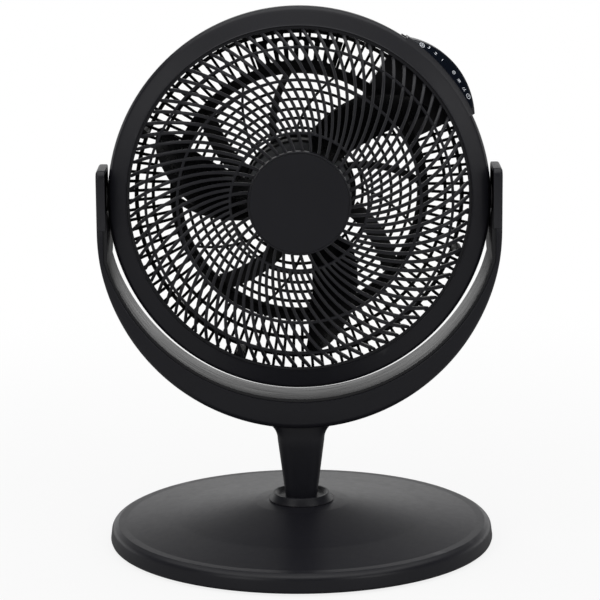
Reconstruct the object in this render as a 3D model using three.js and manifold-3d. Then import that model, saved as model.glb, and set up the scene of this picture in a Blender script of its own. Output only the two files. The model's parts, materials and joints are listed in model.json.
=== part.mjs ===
// A 12 inch air circulator fan on a round weighted base: a drum head with spiral-ribbed grilles that
// tilts in a U-shaped yoke. Millimetres, +Z up, front towards -Y, origin at the bottom centre of the base.
import * as THREE from 'three';
import { mergeVertices } from 'three/addons/utils/BufferGeometryUtils.js';
import Module from 'manifold-3d';

const wasm = await Module();
wasm.setup();

// ---------------------------------------------------------------- driving dimensions

const seat = 0.3;               // gap left between pieces that rest on each other
const runningGap = 0.5;         // gap round a piece that turns
const restTilt = 4;             // degrees that the head leans back at rest

// base
const baseRadius = 194;
const baseRimHeight = 20.5;     // top of the rounded rim
const baseRimInset = 13;        // how far the rim leans in from foot to top
const baseDomeHeight = 41.5;    // flat seat of the collar
const baseWall = 2.6;
const baseGround = 2.5;         // lower edge of the skirt above the table
const coverSegments = 36;
const weightInner = 70;
const weightOuter = 130;
const weightHeight = 7;
const plateThickness = 2;
const plateOpening = 26;
const footRadius = 9;
const footHeight = 3.2;
const footInset = 26;           // centre of a foot from the edge of the base
const footCount = 6;

// collar and neck
const collarFoot = 33;
const collarTop = 28.5;
const collarHeight = 7.5;
const collarDish = 2.5;
const collarRim = 2;
const neckHeight = 79.3;        // from the base to the underside of the bow
const neckFootWidth = 31;
const neckTopWidth = 47.4;
const neckDepthShare = 0.92;
const neckFillet = 12;
const neckBoltRadius = 6;
const neckBoltDepth = 32;       // how far the bolt reaches into the neck
const neckBossWall = 8;
const nutHeight = 7;
const nutRadius = 13;
const washerThickness = 2.5;

// head rim
const rimRadius = 190;
const rimWidth = 19;            // from the rim in to the clear bore
const rimWall = 2.8;
const rimSegments = 36;
const bezelJoint = 4;           // joint of bezel and rear housing, ahead of the tilt axis
const bezelShoulder = 9;        // where the straight rim ends and the cone starts
const bezelFront = 21.5;
const lipHeight = 2.5;
const lipWidth = 3;             // land behind the lip that the front grille's rim seats on
const housingBack = 23.5;
const boreRadius = rimRadius - rimWidth;

// yoke
const armClearance = 1.4;       // between the head's rim and the arms
const swingClearance = 11;      // between the head's rim and the bow, below
const armThickness = 9;
const yokeDrop = 30.5;            // how much thicker than the arms the bow is at the bottom
const yokeDepth = 56;
const yokeCorner = 5;
const yokeLip = 2.5;            // edge that frames the liner at front and back
const linerThickness = 2.2;
const tongueThickness = 4;
const tongueMargin = 4;         // the tongue is this much narrower than the arm on each edge
const tongueRoot = 6;           // how deep it stands in the arm
const capJoint = 28;            // joint between arm and end cap, below the tilt axis
const capTop = 31;              // top of the end cap above the tilt axis
const capRound = 20;
const capEase = 4;              // rounding of the end cap's outer edge
const boltRadius = 4;
const boltHeadRadius = 8;
const boltHeadHeight = 3.6;
const bossRadius = 12;          // bosses on the rim that take the pivot bolts
const bossDepth = 12;
const armInner = rimRadius + armClearance;
const yokeInner = rimRadius + swingClearance;
const yokeOuter = armInner + armThickness;
const pivotHeight = baseDomeHeight + seat + neckHeight + yokeOuter + yokeDrop;

// front grille and centre cap
const ribCount = 80;
const ribSweep = 0.2428;         // degrees of turn for each millimetre of radius
const ribWidth = 2.0;
const ribDepth = 6;
const ribStart = 57.25;          // angle of the first rib at the bore
const ringWidth = 2.2;
const grilleInset = 3.5;        // from the clear bore in to the grille's outermost opening
const grilleEdge = boreRadius - grilleInset;
const capRadius = 50.6;
const innerRingGap = 16.4;      // between the cap and the inner ring
const middleRingInset = 48.4;  // from the grille's edge in to the other two rings
const outerRingInset = 16.5;
const ringRadii = [capRadius + innerRingGap, grilleEdge - middleRingInset, grilleEdge - outerRingInset];
const domeRise = 28.6;
const domePower = 5;
const grilleRimWidth = grilleInset + lipWidth - 1;
const grilleRimDepth = 4;
const capSeatWidth = 7;         // ring that the cap's edge sits on
const capSeat = capRadius - 3;
const capHeight = 10.9;

// rear grille, grip and motor carrier
const finCount = 108;
const finSweep = -0.05;
const finWidth = 1.7;
const finDepth = 5;
const finLength = 40.5;
const dishRise = 34;            // depth of the dished rear grille from its rim to its inner band
const bandWidth = 6.2;
const rearRimWidth = 6.5;
const rearRimOuter = boreRadius + 11.5;
const rearRimInner = rearRimOuter - rearRimWidth;
const bandOuter = boreRadius - finLength;
const bandInner = bandOuter - bandWidth;
const strutCount = 18;
const strutSweep = -0.25;
const strutWide = 5;
const strutFlare = 3;           // extra width of a wide strut where it meets the rim
const strutThin = 2.2;
const strutStart = 17;
const carrierRingCount = 4;
const carrierRingWidth = 2.4;
const carrierRim = 3.6;
const gripFrom = 73.4;            // degrees, from the head's right, counter-clockwise from the front
const gripTo = 107.9;
const gripSlots = 8;
const gripReach = 22.2;         // length of the slots and the bar that closes them at the band
const gripRail = 1.5;           // bar between the slots and the short openings above them
const gripWindow = 4;           // length of those openings
const gripBar = 4.6;
const gripEdge = 0.97;           // degrees left free at each end of the plate
const gripSink = 0.5;           // the plate's face lies this much behind the fins' front

// screw posts between the two grilles
const postRadius = 4.5;
const postInset = 4.5;          // centre of a post from the clear bore
const postAngles = [249, 341, 157, 65];
const postCircle = boreRadius - postInset;

// control pod
const podFrom = 24.3;
const podTo = 56.8;
const podBulgeRadius = 79.5;    // arc of the bulge in front view
const podBulgeInset = 64.8;     // how far that arc's centre lies inside the rim
const podBulgeAngle = 40.6;
const podStep = 2.6;            // height of the pod's ends above the rim
const podFront = 8;
const podFace = 15;             // how far the slanted face runs back
const podLand = 2.4;            // flat strip between the rim and the slanted face
const podBack = 62;
const boxFrom = 28;             // sector of the rear grille that the control box fills
const boxTo = 57;
const panelThickness = 1.2;
const panelEdge = 0.9;          // frame left round the panel
const podClearance = 0.9;

// blades
const bladeCount = 3;
const bladeClearance = 15.5;      // between the tips and the clear bore
const bladeTip = boreRadius - bladeClearance;
const bladeThickness = 2.4;
const bladeWidest = 73;         // radius where the blade is widest
const bladeLead = 279.6;        // angle of the leading edge there
const bladeTipChord = 5;        // degrees
const bladeChord = 36.8;        // degrees
const bladeTipPitch = 4;        // half the blade's depth at the tip
const bladeRootPitch = 19;
const bladeCamber = 5;
const hubRadius = 45;
const hubFront = 30;
const hubBack = 20;
const hubWall = 3;
const hubSleeve = 12;

// motor
const motorFront = 30;          // front face of the motor, behind the tilt axis
const canRadius = 55.5;
const canWall = 2.2;
const canBack = 92;
const canRound = 9;
const canFlangeWidth = 7.5;
const canFlangeThickness = 3;
const ventCount = 8;            // slots in the back of the can
const ventWidth = 3;
const ventLength = 20;
const ventCircle = 30;
const plateWall = 3;
const stackGap = 3;             // between the front plate's boss and the laminations
const motorSegments = 20;
const shaftRadius = 4;
const shaftNose = 6;            // how far the shaft stands out of the hub
const stackInner = 25;
const stackLength = 20;
const bearingRadius = 11;
const bearingLength = 7;
const bearingWall = 4;
const nutNose = 7;

// ---------------------------------------------------------------- materials

const finishes = {
  satinBlack: { color: 0x232327, roughness: 0.5, metalness: 0 },
  innerBlack: { color: 0x17171a, roughness: 0.6, metalness: 0 },
  glossPanel: { color: 0x0f1724, roughness: 0.12, metalness: 0 },
  rubber: { color: 0x1a1a1a, roughness: 0.9, metalness: 0 },
  steel: { color: 0x9a9ca0, roughness: 0.35, metalness: 1 },
  castWeight: { color: 0x4a4a4c, roughness: 0.8, metalness: 0.6 },
};

// ---------------------------------------------------------------- helpers for closed solids

const rad = THREE.MathUtils.degToRad;

// A clean closed solid: corners shared, collapsed triangles dropped and faces turned outwards.
function closed(positions, triangles) {
  const loose = new THREE.BufferGeometry();
  loose.setAttribute('position', new THREE.Float32BufferAttribute(positions, 3));
  loose.setIndex(triangles);
  const merged = mergeVertices(loose, 1e-3);
  const index = merged.index.array;
  const place = merged.getAttribute('position');
  const kept = [];
  let volume = 0;
  const a = new THREE.Vector3();
  const b = new THREE.Vector3();
  const c = new THREE.Vector3();
  for (let i = 0; i < index.length; i += 3) {
    const [p, q, r] = [index[i], index[i + 1], index[i + 2]];
    if (p === q || q === r || r === p) continue;
    kept.push(p, q, r);
    a.fromBufferAttribute(place, p);
    b.fromBufferAttribute(place, q);
    c.fromBufferAttribute(place, r);
    volume += a.dot(b.cross(c));
  }
  if (volume < 0) kept.reverse();
  merged.setIndex(kept);
  return merged;
}

function closedFrom(geometry) {
  const positions = Array.from(geometry.getAttribute('position').array);
  const count = geometry.getAttribute('position').count;
  const index = geometry.index ? Array.from(geometry.index.array) : [...Array(count).keys()];
  return closed(positions, index);
}

// A ring or disc turned about Y from a profile of [radius, y] corners. A profile that leaves the axis
// closes on itself.
function turned(profile, segments) {
  const points = profile.map(([r, y]) => new THREE.Vector2(r, y));
  const onAxis = profile[0][0] === 0 && profile[profile.length - 1][0] === 0;
  if (!onAxis) points.push(points[0].clone());
  return closedFrom(new THREE.LatheGeometry(points, segments));
}

// The same about Z, from [radius, z] corners.
function turnedUpright(profile, segments) {
  return turned(profile, segments).rotateX(Math.PI / 2);
}

// The same about X, from [radius, x] corners.
function turnedAcross(profile, segments) {
  return turned(profile, segments).rotateZ(-Math.PI / 2);
}

// A solid through a row of like outlines, each a list of [x, y, z], with flat ends.
function lofted(outlines) {
  const size = outlines[0].length;
  const positions = outlines.flat(2);
  const triangles = [];
  for (let k = 0; k + 1 < outlines.length; k += 1) {
    for (let i = 0; i < size; i += 1) {
      const a = k * size + i;
      const b = k * size + ((i + 1) % size);
      triangles.push(a, b, b + size, a, b + size, a + size);
    }
  }
  const first = outlines[0];
  const last = outlines[outlines.length - 1];
  capEnd(first, 0, true, triangles);
  capEnd(last, (outlines.length - 1) * size, false, triangles);
  return closed(positions, triangles);
}

// Closes one end of a loft, in the plane that the end lies in.
function capEnd(outline, start, turnedOver, triangles) {
  const points = outline.map(([x, y, z]) => new THREE.Vector3(x, y, z));
  const normal = new THREE.Vector3();
  points.forEach((p, i) => normal.add(p.clone().cross(points[(i + 1) % points.length])));
  const across = points[1].clone().sub(points[0]).normalize();
  const up = normal.normalize().clone().cross(across);
  const flat = points.map((p) => new THREE.Vector2(p.dot(across), p.dot(up)));
  for (const [a, b, c] of THREE.ShapeUtils.triangulateShape(flat, [])) {
    if (turnedOver) triangles.push(start + c, start + b, start + a);
    else triangles.push(start + a, start + b, start + c);
  }
}

function toManifold(geometry) {
  const vertProperties = new Float32Array(geometry.getAttribute('position').array);
  const triVerts = new Uint32Array(geometry.index.array);
  return new wasm.Manifold(new wasm.Mesh({ numProp: 3, vertProperties, triVerts }));
}

function fromManifold(manifold) {
  const mesh = manifold.getMesh();
  return closed(Array.from(mesh.vertProperties), Array.from(mesh.triVerts));
}

function joined(first, ...others) {
  return fromManifold(others.reduce((sum, next) => sum.add(toManifold(next)), toManifold(first)));
}

function cut(first, ...others) {
  return fromManifold(others.reduce((rest, next) => rest.subtract(toManifold(next)), toManifold(first)));
}

// A point on the head: angle in degrees counter-clockwise from the right, seen from the front.
function polar(radius, degrees, y) {
  return [radius * Math.cos(rad(degrees)), y, radius * Math.sin(rad(degrees))];
}

// A pierced shell of revolution about Y: ribs that cross a row of rings.
//   stations  from the inside out: { front: [radius, y], back: [radius, y] }
//   bands     one between each pair of stations: true for a ring that runs all round, false for ribs only
//   angle     (rib, radius) => degrees of the rib's middle
//   width     (rib, radius) => width of the rib's front face
//   has       (band, rib) => whether that rib crosses that open band
//   keel      ribs narrow to an edge at the back
//   open      the shell is a sector: nothing joins the last rib to the first
function pierced({ ribs, stations, bands, angle, width, has = () => true, keel = true, open = false }) {
  const columns = 2 * ribs;
  const cells = open ? columns - 1 : columns;
  const positions = [];
  const edgeAngle = (column, radius, back) => {
    const rib = Math.floor(column / 2);
    const half = back && keel ? 0 : THREE.MathUtils.radToDeg(width(rib, radius) / 2 / radius);
    return angle(rib, radius) + (column % 2 ? half : -half);
  };
  stations.forEach((station) => {
    for (const back of [false, true]) {
      const [radius, y] = back ? station.back : station.front;
      for (let c = 0; c < columns; c += 1) positions.push(...polar(radius, edgeAngle(c, radius, back), y));
    }
  });
  const front = (k, c) => k * 2 * columns + ((c + columns) % columns);
  const back = (k, c) => front(k, c) + columns;
  const solid = (k, c) => {
    if (k < 0 || k >= bands.length) return false;
    if (open && (c < 0 || c >= cells)) return false;
    const cell = (c + columns) % columns;
    return bands[k] || (cell % 2 === 0 && has(k, cell / 2));
  };
  const triangles = [];
  const quad = (a, b, c, d) => triangles.push(a, b, c, a, c, d);
  for (let k = 0; k < bands.length; k += 1) {
    for (let c = 0; c < cells; c += 1) {
      if (!solid(k, c)) continue;
      quad(front(k, c), front(k + 1, c), front(k + 1, c + 1), front(k, c + 1));
      quad(back(k, c + 1), back(k + 1, c + 1), back(k + 1, c), back(k, c));
      if (!solid(k, c + 1)) quad(front(k, c + 1), front(k + 1, c + 1), back(k + 1, c + 1), back(k, c + 1));
      if (!solid(k, c - 1)) quad(front(k + 1, c), front(k, c), back(k, c), back(k + 1, c));
      if (!solid(k + 1, c)) {
        quad(front(k + 1, c + 1), front(k + 1, c), back(k + 1, c), back(k + 1, c + 1));
      }
      if (!solid(k - 1, c)) quad(front(k, c), front(k, c + 1), back(k, c + 1), back(k, c));
    }
  }
  return closed(positions, triangles);
}

function mesh(name, geometry, finish) {
  geometry.computeVertexNormals();
  const result = new THREE.Mesh(geometry, new THREE.MeshStandardMaterial(finishes[finish]));
  result.name = name;
  return result;
}

// ---------------------------------------------------------------- base

// Where the slightly crowned dome leaves the rounded rim.
const domeFoot = baseRadius - baseRimInset;

function baseCover() {
  const rise = baseDomeHeight - baseRimHeight;
  const middle = (domeFoot + collarFoot) / 2;
  const shoulder = baseGround + 0.75 * (baseRimHeight - baseGround);
  const outside = [
    [baseRadius, baseGround],
    [baseRadius - 0.4 * baseRimInset, shoulder],
    [domeFoot, baseRimHeight],
    [middle, baseRimHeight + 0.54 * rise],
    [collarFoot + 1, baseDomeHeight],
    [neckBoltRadius + runningGap, baseDomeHeight],
  ];
  const boss = neckBoltRadius + neckBossWall;
  const inside = [
    [neckBoltRadius + runningGap, bossBottom()],
    [boss, bossBottom()],
    [boss, baseDomeHeight - baseWall],
    [domeFoot - 1, baseRimHeight - baseWall],
    [baseRadius - baseWall, baseGround],
  ];
  return mesh('base_cover', turnedUpright([...outside, ...inside], coverSegments), 'satinBlack');
}

// Lowest face of the boss that the neck's bolt passes through.
function bossBottom() {
  return baseGround + 1 + plateThickness + nutHeight + 2 * seat + washerThickness;
}

// Inner radius of the cover's skirt at a height.
function skirtInside(z) {
  const share = (z - baseGround) / (baseRimHeight - baseWall - baseGround);
  return baseRadius - baseWall - share * (baseRimInset + 1 - baseWall);
}

function basePlate() {
  const low = footHeight + seat;
  const rim = skirtInside(low + plateThickness) - seat;
  const profile = [[plateOpening, low], [rim, low], [rim, low + plateThickness],
    [plateOpening, low + plateThickness]];
  return mesh('base_plate', turnedUpright(profile, coverSegments), 'innerBlack');
}

function baseWeight() {
  const low = footHeight + 2 * seat + plateThickness;
  const profile = [[weightInner, low], [weightOuter, low], [weightOuter - 4, low + weightHeight],
    [weightInner, low + weightHeight]];
  return mesh('base_weight', turnedUpright(profile, coverSegments / 2), 'castWeight');
}

function baseFeet() {
  const circle = baseRadius - footInset;
  return [...Array(footCount).keys()].map((i) => {
    const foot = turnedUpright([[0, 0], [footRadius - 1, 0], [footRadius, footHeight], [0, footHeight]], 8);
    const turn = ((i + 0.5) * 2 * Math.PI) / footCount;
    foot.translate(circle * Math.cos(turn), circle * Math.sin(turn), 0);
    return mesh(`base_foot_${i + 1}`, foot, 'rubber');
  });
}

function neckCollar() {
  const low = baseDomeHeight + seat;
  const top = low + collarHeight;
  const profile = [[0, low], [collarFoot, low], [collarTop, top], [collarTop - collarRim, top],
    [neckFootWidth / 2 + collarRim, top - collarDish], [0, top - collarDish]];
  const hole = lofted([low - 1, top].map((z) => neckLevel(z, 2 * seat)));
  return mesh('neck_collar', cut(turnedUpright(profile, 24), hole), 'satinBlack');
}

function neckBolt() {
  const low = footHeight + seat + plateThickness;
  const top = baseDomeHeight + seat + neckBoltDepth;
  const profile = [[0, low], [neckBoltRadius, low], [neckBoltRadius, top], [0, top]];
  return mesh('neck_bolt', turnedUpright(profile, 12), 'steel');
}

function neckNut() {
  const top = bossBottom() - seat - washerThickness - seat;
  const bore = neckBoltRadius + 1;
  const profile = [[bore, top - nutHeight], [nutRadius, top - nutHeight], [nutRadius, top], [bore, top]];
  return mesh('neck_nut', turnedUpright(profile, 6), 'steel');
}

function neckWasher() {
  const top = bossBottom() - seat;
  const bore = neckBoltRadius + seat;
  const rim = nutRadius + 5;
  const profile = [[bore, top - washerThickness], [rim, top - washerThickness], [rim, top], [bore, top]];
  return mesh('neck_washer', turnedUpright(profile, 12), 'steel');
}

// ---------------------------------------------------------------- yoke

// Distance of the bow's outside from the tilt axis, at an angle from straight down.
function bowOutside(turn) {
  const drop = yokeDrop * Math.cos(turn);
  return drop + Math.sqrt(drop * drop + yokeOuter * yokeOuter - yokeDrop * yokeDrop);
}

// Pairs of [inner x, inner z, outer x, outer z] round the U, from the left arm to the right.
function bowStations() {
  const turnEnd = Math.asin(armInner / yokeInner);
  const stepCount = 7;
  const half = [];
  for (let i = 0; i <= stepCount; i += 1) {
    const turn = (turnEnd * i) / stepCount;
    const out = bowOutside(turn);
    const [s, c] = [Math.sin(turn), Math.cos(turn)];
    half.push([yokeInner * s, pivotHeight - yokeInner * c, out * s, pivotHeight - out * c]);
  }
  const middle = (capJoint + yokeInner * Math.cos(turnEnd)) / 2;
  for (const drop of [middle, capJoint]) {
    const low = Math.max(drop - yokeDrop, 0);
    const outer = Math.sqrt(yokeOuter * yokeOuter - low * low);
    half.push([armInner, pivotHeight - drop, outer, pivotHeight - drop]);
  }
  const mirrored = half.slice(1).reverse().map(([xi, zi, xo, zo]) => [-xi, zi, -xo, zo]);
  return [...mirrored, ...half];
}

// One section across the bow, from [share of the thickness, depth, extra millimetres outwards].
function bowSection(station, corners) {
  const [xi, zi, xo, zo] = station;
  const thickness = Math.hypot(xo - xi, zo - zi);
  return corners.map(([share, y, extra]) => {
    const t = share + extra / thickness;
    return [xi + (xo - xi) * t, y, zi + (zo - zi) * t];
  });
}

// One level of the neck, which widens evenly from its foot up to the flare under the bow.
function neckLevel(z, grow) {
  const bottom = baseDomeHeight + seat;
  const flare = pivotHeight - bowOutside(0) - neckFillet;
  const width = neckFootWidth + ((neckTopWidth - neckFootWidth) * (z - bottom)) / (flare - bottom);
  return roundedLevel(width + grow, width * neckDepthShare + grow, z);
}

// The neck below the bow: rounded rectangles that flare out into it.
function neckSections() {
  const bow = pivotHeight - bowOutside(0);
  const flare = bow - neckFillet;
  const flared = [[0.45, 0.2], [0.8, 0.75], [1.1, 1.7], [1.7, 1.7]].map(([rise, spread]) => {
    const width = neckTopWidth + spread * neckFillet;
    return roundedLevel(width, Math.min(width * neckDepthShare, yokeDepth - 6), flare + rise * neckFillet);
  });
  return [neckLevel(baseDomeHeight + seat, 0), neckLevel(flare, 0), ...flared];
}

function roundedLevel(width, depth, z) {
  const sideCount = 16;
  return [...Array(sideCount).keys()].map((i) => {
    const turn = ((i + 0.5) * 2 * Math.PI) / sideCount;
    const [c, s] = [Math.cos(turn), Math.sin(turn)];
    const soft = (v) => Math.sign(v) * Math.abs(v) ** 0.6;
    return [(soft(c) * width) / 2, (soft(s) * depth) / 2, z];
  });
}

// Outline of an arm's end in side view: upright sides and a rounded top, as [y, z] about the tilt axis.
function armEnd(halfDepth, low, top, round) {
  const points = [[-halfDepth, low], [halfDepth, low]];
  const stepCount = 4;
  const turns = [...Array(stepCount + 1).keys()].map((i) => (Math.PI / 2) * (i / stepCount));
  const corner = (side, turn) => [
    side * (halfDepth - round + round * Math.cos(turn)), top - round + round * Math.sin(turn)];
  const right = turns.map((turn) => corner(1, turn));
  const left = turns.map((turn) => corner(-1, turn)).reverse();
  return [...points, ...right, ...left];
}

// The tongue that stands up inside the end cap and holds the pivot bolt.
function armTongue(side) {
  const halfDepth = yokeDepth / 2 - tongueMargin;
  const outline = armEnd(halfDepth, -capJoint - tongueRoot, capTop - tongueMargin, capRound - tongueMargin);
  const at = (x) => outline.map(([y, z]) => [side * x, y, pivotHeight + z]);
  const plate = lofted([at(armInner), at(armInner + tongueThickness)]);
  const hole = pivotPin(side, boltRadius + runningGap, armInner - 1, armInner + tongueThickness + 1);
  return cut(plate, hole);
}

function pivotPin(side, radius, from, to) {
  const pin = turnedAcross([[0, from], [radius, from], [radius, to], [0, to]], 12);
  if (side < 0) pin.rotateZ(Math.PI);
  return pin.translate(0, 0, pivotHeight);
}

function yoke() {
  const half = yokeDepth / 2;
  const groove = linerThickness + seat;
  const corners = [
    [0, -half, 0], [1, -half, -yokeCorner], [1, -half + yokeCorner, 0], [1, half - yokeCorner, 0],
    [1, half, -yokeCorner], [0, half, 0], [0, half - yokeLip, 0], [0, half - yokeLip, groove],
    [0, -half + yokeLip, groove], [0, -half + yokeLip, 0],
  ];
  const bow = lofted(bowStations().map((station) => bowSection(station, corners)));
  const neck = lofted(neckSections());
  const bottom = baseDomeHeight + seat;
  const socket = turnedUpright([[0, bottom - 5], [neckBoltRadius + seat, bottom - 5],
    [neckBoltRadius + seat, bottom + neckBoltDepth + seat], [0, bottom + neckBoltDepth + seat]], 12);
  const body = cut(joined(bow, neck, armTongue(-1), armTongue(1)), socket);
  return mesh('yoke', body, 'satinBlack');
}

function yokeLiner() {
  const edge = yokeDepth / 2 - yokeLip - seat;
  const corners = [[0, -edge, 0], [0, -edge, linerThickness], [0, edge, linerThickness], [0, edge, 0]];
  const band = lofted(bowStations().slice(1, -1).map((station) => bowSection(station, corners)));
  return mesh('yoke_liner', band, 'satinBlack');
}

function yokeCap(name, side) {
  const half = yokeDepth / 2;
  const full = armEnd(half, -capJoint + seat, capTop, capRound);
  const eased = armEnd(half - capEase, -capJoint + seat, capTop - capEase, capRound - capEase);
  const at = (outline, x) => outline.map(([y, z]) => [side * x, y, pivotHeight + z]);
  const shell = lofted([at(full, armInner), at(full, yokeOuter - capEase), at(eased, yokeOuter)]);
  const clear = half - tongueMargin + seat;
  const pocketOutline = armEnd(clear, -2 * capJoint, capTop - tongueMargin + seat, capRound - tongueMargin);
  const pocketEnd = armInner + tongueThickness + seat;
  const pocket = lofted([at(pocketOutline, armInner - 1), at(pocketOutline, pocketEnd)]);
  const headRoom = pivotPin(side, boltHeadRadius + 1, armInner, boltHeadEnd() + seat);
  return mesh(name, cut(shell, pocket, headRoom), 'satinBlack');
}

// ---------------------------------------------------------------- tilt pivots

function boltHeadEnd() {
  return armInner + tongueThickness + seat + boltHeadHeight;
}

// The rim's flat boss face, just outside the rim.
const bossFace = rimRadius + 0.1;
const bossInner = rimRadius - bossDepth;

function pivotBolt(name, side) {
  const shoulder = armInner + tongueThickness + seat;
  const profile = [[0, bossInner + 2], [boltRadius, bossInner + 2], [boltRadius, shoulder],
    [boltHeadRadius, shoulder], [boltHeadRadius, boltHeadEnd()], [0, boltHeadEnd()]];
  return mesh(name, sideways(profile, side, 12), 'steel');
}

function pivotWasher(name, side) {
  const [from, to] = [bossFace + seat, armInner - seat];
  const bore = boltRadius + seat;
  const profile = [[bore, from], [bossRadius, from], [bossRadius, to], [bore, to]];
  return mesh(name, sideways(profile, side, 12), 'rubber');
}

function sideways(profile, side, segments) {
  const piece = turnedAcross(profile, segments);
  return side < 0 ? piece.rotateZ(Math.PI) : piece;
}

// ---------------------------------------------------------------- head: rim and grilles
// Head pieces are made about the fan axis, with the tilt axis through their origin.

function frontBezel() {
  const inner = rimRadius - rimWall;
  const lipBack = lipHeight - bezelFront;
  const profile = [
    [rimRadius, -bezelJoint - seat], [rimRadius, -bezelShoulder],
    [rimRadius - 2.5, -bezelShoulder - 4.5],
    [boreRadius + 2.8, -bezelFront + 0.7], [boreRadius, -bezelFront],
    [boreRadius, lipBack], [boreRadius + lipWidth, lipBack],
    [inner, -bezelShoulder], [inner, -bezelJoint - seat],
  ];
  return mesh('front_bezel', turned(profile, rimSegments), 'satinBlack');
}

// How far the front grille's face stands ahead of the tilt axis.
function domeForward(radius) {
  const foot = bezelFront - lipHeight - seat;
  return foot + domeRise * (1 - (Math.min(radius, grilleEdge) / grilleEdge) ** domePower);
}

// Two stations that make a thin ring: an edge in front and a face at the back.
function ringStations(radius, width, forward, depth) {
  return [-1, 1].map((side) => {
    const edge = radius + (side * width) / 2;
    return { front: [radius, -forward(radius)], back: [edge, depth - forward(radius)] };
  });
}

function plainStation(radius, forward, depth) {
  return { front: [radius, -forward(radius)], back: [radius, depth - forward(radius)] };
}

function frontGrille() {
  const [inner, middle, outer] = ringRadii;
  const rimFace = domeForward(grilleEdge);
  const rimBack = grilleRimDepth - rimFace;
  const rimOuter = grilleEdge + grilleRimWidth;
  const ring = (radius) => ringStations(radius, ringWidth, domeForward, ribDepth);
  const stations = [
    ...ringStations(capSeat, capSeatWidth, domeForward, ribDepth),
    ...ring(inner), ...ring(middle), ...ring(outer),
    { front: [grilleEdge, -rimFace], back: [grilleEdge - 1, rimBack] },
    { front: [rimOuter, -rimFace], back: [rimOuter, rimBack] },
  ];
  const bands = [true, false, true, false, true, false, true, false, true];
  const body = pierced({
    ribs: ribCount,
    stations,
    bands,
    angle: (rib, radius) => (rib * 360) / ribCount + ribSweep * (radius - boreRadius) + ribStart,
    width: () => ribWidth,
    has: (band, rib) => band > 1 || rib % 2 === 0,
  });
  return mesh('front_grille', body, 'satinBlack');
}

function centreCap() {
  const back = domeForward(capRadius) + seat;
  const face = back + capHeight;
  const groove = 0.9;
  const profile = [
    [0, -back], [capRadius + 1, -back], [capRadius, -face + 0.8], [capRadius - 0.8, -face],
    [capRadius - 1, -face], [capRadius - 1.6, groove - face], [capRadius - 2.2, -face],
    [0, -face],
  ];
  return mesh('centre_cap', turned(profile, rimSegments), 'satinBlack');
}

function rearHousing() {
  const inner = rimRadius - rimWall;
  const mouth = rearRimInner + seat;
  const shoulder = 0.4 * housingBack;
  const profile = [
    [rimRadius, -bezelJoint], [rimRadius, shoulder], [rimRadius - 3, 0.75 * housingBack],
    [rimRadius - 8, housingBack - 0.8], [mouth, housingBack], [mouth, housingBack - rimWall],
    [rimRadius - 7, 0.66 * housingBack], [inner, shoulder - 1], [inner, -bezelJoint],
  ];
  const boss = (side) => sideways(
    [[0, bossInner], [bossRadius, bossInner], [bossRadius, bossFace], [0, bossFace]], side, 12);
  const bore = (side) => sideways(
    [[0, bossInner - 1], [boltRadius + seat, bossInner - 1], [boltRadius + seat, bossFace + 1],
      [0, bossFace + 1]], side, 12);
  const ahead = closedFrom(new THREE.BoxGeometry(3 * rimRadius, rimRadius, rimRadius)
    .translate(0, -bezelJoint - seat / 2 - rimRadius / 2, 0));
  const bosses = cut(joined(boss(-1), boss(1)), ahead);
  const shell = joined(turned(profile, rimSegments), bosses);
  return mesh('rear_housing', cut(shell, bore(-1), bore(1)), 'satinBlack');
}

// How far the rear grille's front face lies behind the tilt axis: a cone from the rim to the inner band.
function dishBehind(radius) {
  const rim = (rearRimInner + rearRimOuter) / 2;
  const band = (bandInner + bandOuter) / 2;
  const share = (rim - radius) / (rim - band);
  return housingBack + seat + dishRise * Math.min(Math.max(share, 0), 1);
}

const dishForward = (radius) => -dishBehind(radius);

function rearGrille() {
  const pitch = 360 / finCount;
  const angle = (fin, radius) => fin * pitch + finSweep * (radius - bandOuter);
  const inSector = (fin, from, to) => fin * pitch > from - pitch / 2 && fin * pitch < to + pitch / 2;
  const stations = [
    ...ringStations((bandInner + bandOuter) / 2, bandOuter - bandInner, dishForward, finDepth),
    ...ringStations((rearRimInner + rearRimOuter) / 2, rearRimOuter - rearRimInner, dishForward, finDepth),
  ];
  const body = pierced({
    ribs: finCount,
    stations,
    bands: [true, false, true],
    angle,
    width: () => finWidth,
    has: (band, fin) => !inSector(fin, boxFrom, boxTo) && !inSector(fin, gripFrom, gripTo),
  });
  return mesh('rear_grille', body, 'innerBlack');
}

// Slotted plate that fills the window at the top of the rear grille.
function rearGrip() {
  const pitch = (gripTo - gripFrom - 2 * gripEdge) / gripSlots;
  const inner = bandOuter + seat;
  const outer = rearRimInner - seat;
  const forward = (radius) => -dishBehind(radius) - gripSink;
  const bar = 2;
  const rail = inner + gripReach;
  const window = rail + gripRail;
  const middle = (inner + rail) / 2;
  const stations = [inner, inner + bar, rail, window, window + gripWindow, outer]
    .map((radius) => plainStation(radius, forward, finDepth - 1));
  const body = pierced({
    ribs: gripSlots + 1,
    stations,
    bands: [true, false, true, false, true],
    angle: (rib, radius) => gripFrom + gripEdge + rib * pitch + finSweep * (radius - middle),
    width: () => gripBar,
    keel: false,
    open: true,
  });
  return mesh('rear_grip', body, 'innerBlack');
}

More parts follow.
